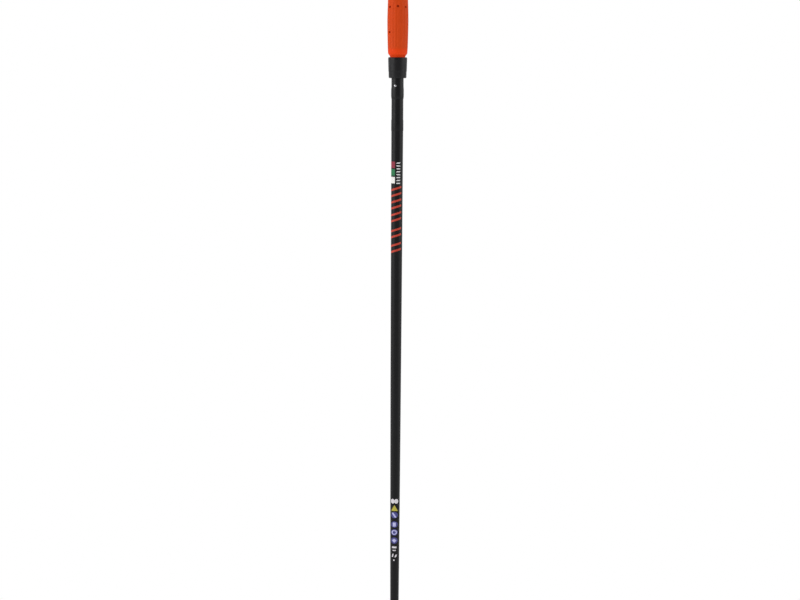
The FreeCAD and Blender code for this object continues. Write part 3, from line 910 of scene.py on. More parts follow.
    def recesses(self) -> BMesh:
        """Tools for the dimples and for the webbing's way out at the back.

        Returns:
            The tools as one mesh.
        """
        turns = between(0, 360, 360 / (self.side_dimples + 1))
        spots = [(self.front_dimple_rise, turns[0])]
        spots += [(self.side_dimple_rise, turn) for turn in turns[1:]]
        spots += [(self.low_dimple_rise, turn) for turn in self.low_dimple_turns]
        tools = []
        for rise, turn in spots:
            way = front_way(turn)
            pin = turned([Corner(0, 0), Corner(self.dimple_radius, 0, 0.5),
                          Corner(self.dimple_radius, self.dimple_reach), Corner(0, self.dimple_reach)],
                         closed=False, steps=28)
            tools.append(placed(pin, way * self.dimple_floor + Vector((0, 0, self.foot + rise)), way))
        low = self.foot + self.slot_low
        tools.append(block((-self.slot_half_width, self.core_radius, low),
                           (self.slot_half_width, self.slot_reach, low + self.slot_height), 0.8))
        return joined(tools)

    def build(self) -> None:
        """Make the shell and dress the core."""
        shell = carved(self.blank(), self.recesses())
        finish_piece("grip_skin", shell, GRIP_ELASTOMER,
                     Seat("pole", "grip_elastomer", ("grip_shell",)))
        dress_node("grip_core", CORE_POLYPROPYLENE)


@dataclass
class HeadCap:
    """Domed oval cap with the wedge's opening and two countersunk screws. Sizes in mm."""

    rim: float = field(init=False)
    crown: float = field(init=False)
    half_width: float = 18.8
    half_depth: float = 22.6
    flat_half_width: float = 13.0
    opening: tuple[float, float, float] = (9.5, -7.0, 9.3)
    screw_places: tuple[float, float] = (-12.6, 13.8)
    screw_length: float = 15.0
    shank_length: float = 12.4
    cone_top: float = 14.0
    screw_radius: float = 1.5
    head_radius: float = 2.6
    head_drop: float = 1.0
    recess_radius: float = 1.35
    recess_depth: float = 1.5

    def __post_init__(self) -> None:
        """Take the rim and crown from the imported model."""
        self.rim, self.crown = levels("head_cap")

    def dome(self) -> BMesh:
        """Oval dome, turned round and then drawn out front to back.

        Returns:
            The cap before its opening and holes are cut.
        """
        mesh = turned([Corner(0, self.rim), Corner(self.half_width - 0.5, self.rim, 0.3),
                       Corner(self.half_width - 0.1, self.rim + 0.8, 0.4),
                       Corner(self.half_width - 0.5, self.rim + 4.6, 1.6),
                       Corner(self.half_width - 2.3, self.rim + 8.2, 1.6),
                       Corner(self.flat_half_width, self.crown, 2.4), Corner(0, self.crown)],
                      closed=False, steps=144)
        extra = self.half_depth - self.half_width
        for vert in mesh.verts:
            radius = max(math.hypot(vert.co.x, vert.co.y), self.flat_half_width)
            vert.co.y *= 1 + extra / radius
        return mesh

    def screw(self) -> BMesh:
        """One countersunk screw, its foot at the origin.

        Returns:
            A closed mesh in mm.
        """
        return turned([Corner(0, 0), Corner(self.screw_radius - 0.5, 0),
                       Corner(self.screw_radius, 0.8), Corner(self.screw_radius, self.shank_length),
                       Corner(self.head_radius, self.cone_top),
                       Corner(self.head_radius, self.screw_length, 0.25),
                       Corner(0, self.screw_length)], closed=False, steps=48)

    def screw_hole(self) -> BMesh:
        """Tool for one screw's hole, which stands a little out at both ends.

        Returns:
            A closed mesh in mm.
        """
        top = self.screw_length + 3
        return turned([Corner(0, -1), Corner(self.screw_radius, -1),
                       Corner(self.screw_radius, self.shank_length),
                       Corner(self.head_radius, self.cone_top), Corner(self.head_radius, top),
                       Corner(0, top)], closed=False, steps=48)

    def seats(self) -> list[Vector]:
        """Where each screw's foot is."""
        foot = self.crown - self.head_drop - self.screw_length
        return [Vector((0, y, foot)) for y in self.screw_places]

    def build(self) -> None:
        """Make the cap and its screws."""
        half, front, back = self.opening
        tools = [block((-half, front, self.rim - 1), (half, back, self.crown + 2), 0.7)]
        tools += [placed(self.screw_hole(), seat) for seat in self.seats()]
        cap = softened(carved(self.dome(), joined(tools)), 0.35, above=55.0, segments=2,
                       chosen=lambda edge: min(vert.co.z for vert in edge.verts) > self.crown - 0.5)
        finish_piece("grip_cap", cap, CAP_NYLON, Seat("pole", "cap_nylon", ("head_cap",)))
        screws = []
        for seat in self.seats():
            hexagon = bmesh.new()
            bmesh.ops.create_cone(hexagon, cap_ends=True, segments=6, radius1=self.recess_radius,
                                  radius2=self.recess_radius, depth=2 * self.recess_depth)
            placed(hexagon, Vector((0, 0, self.screw_length)))
            screws.append(placed(carved(self.screw(), hexagon), seat))
        finish_piece("cap_screw_pair", joined(screws), ZINC_PLATED_STEEL,
                     Seat("pole", "screw_steel", ("cap_screws",)))


@dataclass
class WedgeLock:
    """Wedge with teeth that hold the webbing, and finger ridges on its top. Sizes in mm."""

    half_width: float = 9.2
    leg: float = 3.3
    underside: float = 17.1
    tooth_depth: float = 0.8
    teeth: int = 4
    ridges: int = 4
    ridge_pitch: float = 2.6
    ridge_depth: float = 0.7
    groove_half_width: float = 0.75
    groove_floor: float = 0.35

    def outline(self) -> list[Vector]:
        """Side outline of the wedge, front to the left.

        Returns:
            Points at the wedge's left side.
        """
        low, high = span("strap_wedge")
        front, back, foot, top = low.y, high.y, low.z, high.z
        inner, under = front + self.leg, foot + self.underside
        run = (back - inner) / self.teeth
        corners = [Corner(front, foot, 0.5), Corner(inner, foot, 0.5),
                   Corner(inner, under + self.tooth_depth)]
        for tooth in range(self.teeth):
            corners.append(Corner(inner + run * (tooth + 0.7), under))
            corners.append(Corner(inner + run * (tooth + 1), under + self.tooth_depth))
        corners.append(Corner(back, top, 1.0))
        middle = (front + back) / 2
        for ridge in reversed(range(self.ridges)):
            place = middle + (ridge - (self.ridges - 1) / 2) * self.ridge_pitch
            corners += [Corner(place + self.groove_half_width, top),
                        Corner(place + self.groove_floor, top - self.ridge_depth, 0.25),
                        Corner(place - self.groove_floor, top - self.ridge_depth, 0.25),
                        Corner(place - self.groove_half_width, top)]
        corners.append(Corner(front, top, 1.0))
        return [Vector((-self.half_width, point.x, point.z)) for point in rounded(corners)]

    def build(self) -> None:
        """Make the wedge."""
        wedge = bar(self.outline(), Vector((2 * self.half_width, 0, 0)))
        softened(wedge, 0.3, above=70.0, segments=2,
                 chosen=lambda edge: abs(edge.verts[0].co.x - edge.verts[1].co.x) < 0.01)
        finish_piece("lock_wedge", wedge, WEDGE_NYLON,
                     Seat("strap_lock", "wedge_nylon", ("strap_wedge",)))


@dataclass
class Neck:
    """Stepped collar, thin sleeve with a fuller lower end, and the rivet through both. In mm."""

    tube_radius: float = 9.0
    collar_foot_radius: float = 13.4
    collar_radius: float = 14.4
    step_drop: float = 21.8
    socket_drop: float = 14.0
    socket_radius: float = 10.4
    sleeve_radius: float = 9.25
    lap_radius: float = 9.65
    lap_length: float = 14.6
    rivet_turn: float = 21.0
    rivet_height: float = 1007.6
    rivet_radius: float = 1.9
    dome: float = 0.9
    shank_radius: float = 1.2
    bulb_radius: float = 1.8
    bulb_inside: float = 6.4
    bulb_outside: float = 7.4

    def collar(self) -> BMesh:
        """Collar: a slightly flared foot, a step, and a rounded rim.

        Returns:
            A closed ring in mm.
        """
        foot, rim = levels("grip_collar")
        step, socket = rim - self.step_drop, rim - self.socket_drop
        return turned([Corner(self.sleeve_radius, foot), Corner(self.collar_foot_radius, foot, 1.5),
                       Corner(self.collar_foot_radius + 0.2, step, 0.3),
                       Corner(self.collar_foot_radius + 0.5, step + 0.8, 0.3),
                       Corner(self.collar_radius, rim - 2, 0.8),
                       Corner(self.collar_radius - 0.4, rim, 0.7), Corner(self.socket_radius, rim),
                       Corner(self.socket_radius, socket), Corner(self.sleeve_radius, socket)],
                      steps=120, round_steps=5)

    def sleeve(self) -> BMesh:
        """Sleeve, shrunk tight above and fuller where it laps over tape below.

        Returns:
            A closed ring in mm.
        """
        foot, top = levels("neck_sleeve")
        lap_top = foot + self.lap_length
        return turned([Corner(self.tube_radius, foot), Corner(self.tube_radius + 0.15, foot, 0.08),
                       Corner(self.lap_radius, foot + 3.6, 1.6),
                       Corner(self.lap_radius + 0.03, lap_top, 1.6),
                       Corner(self.sleeve_radius, lap_top + 3.2, 1.2), Corner(self.sleeve_radius, top),
                       Corner(self.tube_radius, top)], steps=96)

    def rivet(self) -> BMesh:
        """Blind rivet whose domed head stands on the sleeve.

        Returns:
            A closed mesh in its place.
        """
        seat = self.sleeve_radius
        crown = seat + self.dome
        mesh = turned([Corner(0, self.bulb_inside), Corner(self.bulb_radius - 0.5, self.bulb_inside, 0.3),
                       Corner(self.bulb_radius, self.bulb_inside + 0.5),
                       Corner(self.bulb_radius, self.bulb_outside),
                       Corner(self.shank_radius, self.bulb_outside), Corner(self.shank_radius, seat),
                       Corner(self.rivet_radius, seat - 0.15),
                       Corner(self.rivet_radius, seat + 0.3, 0.15),
                       Corner(self.rivet_radius * 0.72, crown - 0.15, 0.5),
                       Corner(self.rivet_radius * 0.35, crown, 0.3), Corner(0, crown)],
                      closed=False, steps=48)
        return placed(mesh, Vector((0, 0, self.rivet_height)), front_way(self.rivet_turn))

    def build(self) -> None:
        """Make the three pieces."""
        finish_piece("stepped_collar", self.collar(), COLLAR_POLYPROPYLENE,
                     Seat("pole", "collar_polypropylene", ("grip_collar",)))
        finish_piece("shrunk_sleeve", self.sleeve(), SHRUNK_VINYL,
                     Seat("pole", "sleeve_vinyl", ("neck_sleeve",)))
        finish_piece("domed_rivet", self.rivet(), POLISHED_ALUMINIUM,
                     Seat("pole", "rivet_aluminium", ("neck_rivet",)))


@dataclass
class Tube:
    """Tapered aluminium tube with its wrapped band and end plugs. Sizes in mm."""

    radius: float = 9.0
    wall: float = 1.2
    end_radius: float = 6.2
    taper_low: float = 110.0
    taper_high: float = 939.0
    taper_lead: float = 0.4
    rings: int = 24
    band_wall: float = 0.28

    def radius_at(self, height: float) -> float:
        """Outer radius at a height: the taper quickens downwards.

        Args:
            height: height above the spike's point.

        Returns:
            The radius.
        """
        share = (self.taper_high - height) / (self.taper_high - self.taper_low)
        share = min(1.0, max(0.0, share))
        narrowing = self.taper_lead * share + (1 - self.taper_lead) * share * share
        return self.radius - (self.radius - self.end_radius) * narrowing

    def tube(self) -> BMesh:
        """Tube wall, open at both ends.

        Returns:
            A closed ring in mm.
        """
        foot, top = levels("shaft")
        ring_gap = (self.taper_high - self.taper_low) / self.rings
        heights = [foot] + between(self.taper_low, self.taper_high, ring_gap) + [self.taper_high, top]
        outside = [Corner(self.radius_at(height), height) for height in heights]
        inside = [Corner(self.radius_at(height) - self.wall, height) for height in reversed(heights)]
        return turned(outside + inside, steps=96)

    def band(self) -> BMesh:
        """Film wrapped once round the tube.

        Returns:
            A closed ring in mm.
        """
        foot, top = levels("shaft_band")
        outer = self.radius + self.band_wall
        return turned([Corner(self.radius, foot), Corner(outer, foot, self.band_wall / 2),
                       Corner(outer, top, self.band_wall / 2), Corner(self.radius, top)], steps=96)

    def build(self) -> None:
        """Make the tube and band, and dress the plugs."""
        finish_piece("tapered_tube", self.tube(), TUBE_ENAMEL,
                     Seat("pole", "shaft_enamel", ("shaft",)))
        finish_piece("wrapped_band", self.band(), WRAPPED_VINYL,
                     Seat("pole", "band_vinyl", ("shaft_band",)))
        for node in ("shaft_top_plug", "shaft_foot_plug"):
            dress_node(node, PLUG_POLYETHYLENE)


class Sign(Enum):
    """What a plain disc in the lower strip carries, and the height of its middle in mm."""

    BAR = 343.2
    BLOCK = 328.2
    RING = 315.5
    DIAMOND = 302.4


@dataclass(frozen=True)
class Print:
    """One flat shape printed on the tube.

    Attributes:
        outline: its corners, level distance and rise from its own middle, in mm.
        across: arc distance of its middle from the front line, towards +X.
        height: height of its middle.
        layer: how many coats lie under it.
    """

    outline: Flat
    across: float
    height: float
    layer: int = 0


@dataclass
class PrintedMarks:
    """Plain shapes screen-printed on the tube, each a thin coat that follows its curve. In mm."""

    tube: Tube
    coat: float = 0.05
    lift: float = 0.02
    column: float = 0.8
    chip_across: float = -7.9
    chip_heights: tuple[float, float, float] = (888.3, 876.8, 865.0)
    tick_across: float = 2.2
    tick_top: float = 891.1
    tick_pitch: float = 4.4
    tick_slants: tuple[float, ...] = (1.6, -1.6, 0.0, 1.6, -1.6, 0.0, 1.6, 0.0)
    row_across: float = -2.5
    row_heights: tuple[float, ...] = (847.2, 828.4, 808.8, 784.4, 761.8)
    row_step: float = 4.6
    strip_across: float = -0.9

    @staticmethod
    def bar_shape(width: float, height: float, slant: float = 0.0) -> Flat:
        """Upright or slanted bar.

        Args:
            width: its level width.
            height: its height.
            slant: how far its top leans to the right.

        Returns:
            Its four corners.
        """
        left, low = -width / 2, -height / 2
        return [(left - slant / 2, low), (left + width - slant / 2, low),
                (left + width + slant / 2, -low), (left + slant / 2, -low)]

    @staticmethod
    def disc_shape(half_width: float, half_height: float, corners: int = 28) -> Flat:
        """Disc or oval."""
        return [(half_width * math.cos(FULL_TURN * n / corners),
                 half_height * math.sin(FULL_TURN * n / corners)) for n in range(corners)]

    def wrapped(self, mark: Print) -> BMesh:
        """Cut a flat shape into narrow columns, thicken it and lay it round the tube.

        Args:
            mark: the shape to print.

        Returns:
            A thin closed mesh in mm.
        """
        mesh = bmesh.new()
        mesh.faces.new([mesh.verts.new((across, 0, rise)) for across, rise in mark.outline])
        edges = [across for across, rise in mark.outline]
        for across in between(min(edges), max(edges), self.column)[1:]:
            bmesh.ops.bisect_plane(mesh, geom=mesh.verts[:] + mesh.edges[:] + mesh.faces[:],
                                   plane_co=(across, 0, 0), plane_no=(1, 0, 0), dist=1e-4)
        for vert in thickened(mesh, (0, -self.coat, 0)).verts:
            height = mark.height + vert.co.z
            surface = self.tube.radius_at(height)
            angle = (mark.across + vert.co.x) / surface
            radius = surface + self.lift + self.coat * mark.layer - vert.co.y
            vert.co = (radius * math.sin(angle), -radius * math.cos(angle), height)
        return seal(mesh)

    def lay(self, name: str, finish: Finish, marks: Iterable[Print]) -> None:
        """Print one colour."""
        finish_piece(f"print_{name}", joined(self.wrapped(mark) for mark in marks), finish,
                     Seat("pole", "shaft_enamel"))

    def chips(self) -> None:
        """Three colour chips on the left, with white ticks beside them."""
        chip = self.bar_shape(9.6, 9.8)
        inks = (("red", "#8c2238", "#842036"), ("green", "#1a7444", "#186c40"),
                ("white", "#e6e6e2", "#dcdcd8"))
        for (colour, *tones), height in zip(inks, self.chip_heights):
            self.lay(f"chip_{colour}", ink(colour, *tones), [Print(chip, self.chip_across, height)])
        ticks = [Print(self.bar_shape(5.6, 1.7, slant), self.tick_across,
                       self.tick_top - self.tick_pitch * number)
                 for number, slant in enumerate(self.tick_slants)]
        self.lay("chip_ticks", ink("tick_white", "#dedede", "#d0d0d0"), ticks)

    def slashes(self) -> None:
        """Row of slanted bars in pairs, all leaning one way."""
        ramp = [(-9.9, -4.6), (9.9, 1.5), (9.9, 4.6), (-9.9, -1.5)]
        marks = [Print(ramp, self.row_across, height + step)
                 for height in self.row_heights for step in (-self.row_step, self.row_step)]
        self.lay("row_orange", ink("orange_red", "#be3a24", "#b03420"), marks)

    def signs(self) -> None:
        """Strip of small plain signs."""
        middle = self.strip_across
        disc = self.disc_shape(5.6, 5.0)
        blue, pale = [], []
        for sign in Sign:
            blue.append(Print(disc, middle, sign.value))
            if sign is Sign.BAR:
                pale.append(Print(self.bar_shape(3.0, 7.6, -5.0), middle - 0.5, sign.value, 1))
            elif sign is Sign.BLOCK:
                pale.append(Print(self.bar_shape(4.6, 6.4), middle, sign.value, 1))
            elif sign is Sign.RING:
                pale.append(Print(self.disc_shape(4.3, 3.8), middle, sign.value, 1))
                blue.append(Print(self.disc_shape(2.5, 2.2), middle, sign.value, 2))
            else:
                pale.append(Print([(-3.6, 0), (0, -3.3), (3.6, 0), (0, 3.3)], middle, sign.value, 1))
        self.lay("sign_blue", ink("blue", "#48488a", "#424280"), blue)
        self.lay("sign_pale", ink("pale_blue", "#bcbce4", "#b0b0da"), pale)
        dots = [Print(self.disc_shape(3.3, 3.7), side * 3.0 + middle, 365.2) for side in (-1, 1)]
        bars = [Print(self.bar_shape(7.4, 2.8), middle, 291.5),
                Print(self.bar_shape(5.0, 1.6), middle, 286.6),
                Print(self.bar_shape(2.0, 5.2, 1.2), middle - 2.3, 278.6),
                Print(self.bar_shape(2.4, 4.2, 1.6), middle + 2.5, 277.7),
                Print(self.bar_shape(2.2, 2.2), middle - 0.3, 270.9)]
        self.lay("sign_white", ink("sign_white", "#dcd8dc", "#cfcbd0"), dots + bars)
        triangle = [(-5.6, -4.6), (5.6, -4.6), (0, 4.9)]
        self.lay("sign_yellow", ink("yellow", "#bcb242", "#b0a63c"), [Print(triangle, middle, 354.4)])

    def build(self) -> None:
        """Print all the marks."""
        self.chips()
        self.slashes()
        self.signs()


class Route:
    """A line that a band follows in the upright plane through the pole, measured in mm."""

    def __init__(self, points: Sequence[Vector]) -> None:
        """Keep the line's points and how far along it each one is.

        Args:
            points: points whose x is the place towards +Y and whose z is the height.
        """
        self.points = [Vector((0, point.x, point.z)) for point in points]
        steps = [(after - before).length for before, after in zip(self.points, self.points[1:])]
        self.marks = [0.0] + list(accumulate(steps))

    @property
    def length(self) -> float:
        """Length of the whole line."""
        return self.marks[-1]

    def place(self, distance: float) -> Vector:
        """Point at a distance along the line.

        Args:
            distance: how far along, in mm.

        Returns:
            The point there.
        """
        index = max(0, min(len(self.marks) - 2, sum(mark <= distance for mark in self.marks) - 1))
        share = (distance - self.marks[index]) / (self.marks[index + 1] - self.marks[index])
        return self.points[index].lerp(self.points[index + 1], share)


@dataclass
class WristLoop:
    """Wrist loop: one webbing band, its lining pad, the sliding keeper and the stitching. In mm."""

    half_width: float = 9.0
    ply: float = 1.8
    thickness: float = 1.6
    pin: tuple[float, float] = (1.5, 1165.0)
    eye_radius: float = 2.4
    tails: tuple[float, float] = (4.0, 3.5)
    drop: float = 2.1
    top: float = 1178.9
    hinge_y: float = 25.2
    shoulder: float = 1140.0
    loop_y: float = 36.5
    loop_z: float = 1016.0
    loop_radius: float = 16.1
    across_steps: int = 10
    along_step: float = 0.8
    pad_outer: float = 15.1
    pad_inner: float = 12.75
    pad_half_width: float = 8.7
    pad_steps: int = 36
    pad_start: float = 3.0
    channel: float = 2.9
    channel_depth: float = 0.95
    roll_fullness: float = 0.6
    end_fade: float = 28.0
    end_thinning: float = 0.62
    keeper_wall: float = 1.6
    keeper_rounding: float = 0.55
    thread_radius: float = 0.26
    box_side: int = 6
    box_pitch: tuple[float, float] = (2.5, 1.3)
    box_foot: float = 1163.5
    lining_stitches: int = 17
    lining_arc: tuple[float, float] = (8.0, 164.0)
    lining_row: float = 7.4

    def touch(self, y: float, side: int) -> float:
        """Angle on the round bottom that a line from a shoulder touches: side is 1 left, -1 right."""
        across, rise = y - self.loop_y, self.shoulder - self.loop_z
        return math.atan2(rise, across) + side * math.acos(self.loop_radius / math.hypot(across, rise))

    def round_bottom(self, start: float, end: float, radius: float, y: float, z: float) -> list[Corner]:
        """Corners along an arc, from one angle to another.

        Args:
            start: first angle, in radians from +Y.
            end: last angle.
            radius: the arc's radius.
            y: its middle's place front to back.
            z: its middle's height.

        Returns:
            Corners about five degrees apart.
        """
        count = max(6, round(abs(end - start) / math.radians(5)))
        angles = [start + (end - start) * index / count for index in range(count + 1)]
        return [Corner(y + radius * math.cos(angle), z + radius * math.sin(angle)) for angle in angles]

    def route(self) -> Route:
        """Line of the webbing: out over the hinge, round the loop, back in and round the pin.

        Returns:
            The line, from the cloth's free end inside the head.
        """
        half = self.ply / 2
        outer, inner = self.hinge_y + half, self.hinge_y - half
        lower = self.top - self.ply
        right, left = self.touch(outer, -1), self.touch(inner, 1)
        corners = [Corner(self.drop, self.pin[1] + self.tails[0]), Corner(self.drop, self.top, 2.9),
                   Corner(outer, self.top, 3.2), Corner(outer, self.shoulder, 3.0)]
        corners += self.round_bottom(right, left - FULL_TURN, self.loop_radius, self.loop_y, self.loop_z)
        corners += [Corner(inner, self.shoulder, 3.0), Corner(inner, lower, 1.4),
                    Corner(self.drop + self.ply, lower, 1.1)]
        corners += self.round_bottom(0, -math.pi, self.eye_radius, *self.pin)
        corners.append(Corner(self.pin[0] - self.eye_radius + 0.6, self.pin[1] + self.tails[1]))
        return Route(rounded(corners, closed=False, steps=6))

    def webbing(self, route: Route) -> BMesh:
        """Flat grid laid along the route, with a UV map that is its flat size in metres.

        Args:
            route: the line to follow.

        Returns:
            An open mesh in mm.
        """
        mesh = bmesh.new()
        layer = mesh.loops.layers.uv.new("band")
        steps = round(route.length / self.along_step)
        bmesh.ops.create_grid(mesh, x_segments=self.across_steps, y_segments=steps, size=0.5)
        for face in mesh.faces:
            for loop in face.loops:
                across, along = loop.vert.co.x + 0.5, loop.vert.co.y + 0.5
                loop[layer].uv = (across * 2 * self.half_width * MM, along * route.length * MM)
        for vert in mesh.verts:
            spot = route.place((vert.co.y + 0.5) * route.length)
            vert.co = (vert.co.x * 2 * self.half_width, spot.y, spot.z)
        return mesh

    def band(self, route: Route) -> bpy.types.Object:
        """Make the band, thicken it and round its selvedges.

        Args:
            route: the line to follow.

        Returns:
            The finished band.
        """
        def settle(piece: bpy.types.Object) -> None:
            """Give the cloth its thickness and rounded selvedges.

            Args:
                piece: the band.
            """
            wall = piece.modifiers.new("thickness", "SOLIDIFY")
            wall.thickness, wall.offset = self.thickness * MM, 0.0
            selvedge = piece.modifiers.new("selvedge", "BEVEL")
            selvedge.width, selvedge.segments = 0.35 * MM, 2
            selvedge.limit_method, selvedge.angle_limit = "ANGLE", math.radians(60)

        band = finish_piece("strap_band", self.webbing(route), STRAP_WEBBING,
                            Seat("", "strap_webbing", ("wrist_strap", "strap_anchor")),
                            crease=60.0, settle=settle)
        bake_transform(band)
        return band

    def pad(self) -> BMesh:
        """Lining pad: a section with three soft rolls, spun round the loop's bottom.

        Returns:
            A closed mesh in its place.
        """
        half, count = self.pad_half_width, self.pad_steps
        inner = []
        for x in [-half + 2 * half * number / count for number in range(count + 1)]:
            swell = abs(math.cos(math.pi * x / (2 * self.channel))) ** self.roll_fullness
            inner.append(Vector((x, self.pad_inner + self.channel_depth * (1 - swell), 0)))
        outer = [Vector((half - 0.3, self.pad_outer, 0)), Vector((-half + 0.3, self.pad_outer, 0))]
        mesh = bmesh.new()
        section = mesh.faces.new([mesh.verts.new(point) for point in inner + outer])
        start = math.radians(self.pad_start)
        sweep = math.pi + 2 * start
        bmesh.ops.rotate(mesh, cent=(0, 0, 0), verts=mesh.verts,
                         matrix=Matrix.Rotation(start, 3, "X"))
        bmesh.ops.spin(mesh, geom=[section] + section.edges[:] + section.verts[:], cent=(0, 0, 0),
                       axis=(1, 0, 0), angle=-sweep, steps=84)
        for vert in mesh.verts:
            self.thin_end(vert, start)
        bmesh.ops.translate(mesh, vec=(0, self.loop_y, self.loop_z), verts=mesh.verts)
        return seal(mesh)

    def thin_end(self, vert: bmesh.types.BMVert, start: float) -> None:
        """Bring the pad's inner side towards the webbing near its two ends.

        Args:
            vert: a vertex of the pad, measured from the loop's middle.
            start: angle in radians at which the pad starts.
        """
        radius = math.hypot(vert.co.y, vert.co.z)
        from_end = math.degrees(min(abs(math.atan2(vert.co.z, vert.co.y) - start),
                                    abs(math.atan2(vert.co.z, -vert.co.y) - start)))
        closing = 1 - eased_step(0, self.end_fade, from_end)
        target = radius + (self.pad_outer - radius) * self.end_thinning * closing
        vert.co.yz *= target / radius

    def keeper(self) -> BMesh:
        """Ring with rounded edges, worked from a plate by an inset and an extrusion.

        Returns:
            A closed ring in its place.
        """
        low, high = span("strap_keeper")
        mesh = bmesh.new()
        corners = [(low.x, low.y), (high.x, low.y), (high.x, high.y), (low.x, high.y)]
        plate = mesh.faces.new([mesh.verts.new((x, y, low.z)) for x, y in corners])
        plate.normal_update()
        bmesh.ops.inset_region(mesh, faces=[plate], thickness=self.keeper_wall, use_boundary=True,
                               use_even_offset=True)
        bmesh.ops.delete(mesh, geom=[plate], context="FACES")
        ring = seal(thickened(mesh, (0, 0, high.z - low.z)))
        return softened(ring, self.keeper_rounding, above=60.0, segments=4)

    def stitch(self, spot: Vector, along: Vector, length: float = 2.4) -> BMesh:
        """One short stitch, sunk a little into the cloth.

        Args:
            spot: its middle.
            along: the way it runs.
            length: its length.

        Returns:
            A closed mesh in its place.
        """
        mesh = bmesh.new()
        bmesh.ops.create_cone(mesh, cap_ends=True, segments=6, radius1=self.thread_radius,
                              radius2=self.thread_radius, depth=length)
        return placed(mesh, spot, along)

    def stitches(self) -> BMesh:
        """Box of stitches on the stem, and two rows that hold the lining.

        Returns:
            All the stitches as one mesh.
        """
        work = []
        back = self.hinge_y + self.ply - 0.1
        level_pitch, row_pitch = self.box_pitch
        left = -level_pitch * (self.box_side - 1) / 2
        for row in range(self.box_side):
            for column in range(self.box_side):
                lean = 1 if (row + column) % 2 else -1
                spot = Vector((left + level_pitch * column, back, self.box_foot + row_pitch * row))
                work.append(self.stitch(spot, Vector((1, 0, 0.35 * lean)), 2.3))
        outer = self.loop_radius + self.thickness / 2 + 0.05
        centre = Vector((0, self.loop_y, self.loop_z))
        first, sweep = self.lining_arc
        for number in range(self.lining_stitches):
            angle = math.radians(-first - sweep * number / (self.lining_stitches - 1))
            way = Vector((0, math.cos(angle), math.sin(angle)))
            for side in (-1, 1):
                spot = centre + way * outer + Vector((side * self.lining_row, 0, 0))
                work.append(self.stitch(spot, Vector((0, -math.sin(angle), math.cos(angle)))))
        return joined(work)

    def build(self) -> None:
        """Make the band, pad, keeper and stitches, and dress the pin."""
        route = self.route()
        band = self.band(route)
        pad = finish_piece("lining_pad", self.pad(), PAD_LINING,
                           Seat("strap", "strap_lining", ("strap_pad",)), crease=60.0)
        finish_piece("sliding_keeper", self.keeper(), KEEPER_NYLON,
                     Seat("keeper", "keeper_nylon", ("strap_keeper",)))
        finish_piece("strap_stitches", self.stitches(), SEWING_THREAD, Seat("strap", "strap_webbing"))
        dress_node("strap_pin", ZINC_PLATED_STEEL)
        LOG.info("webbing cut length: %.1f mm", route.length)


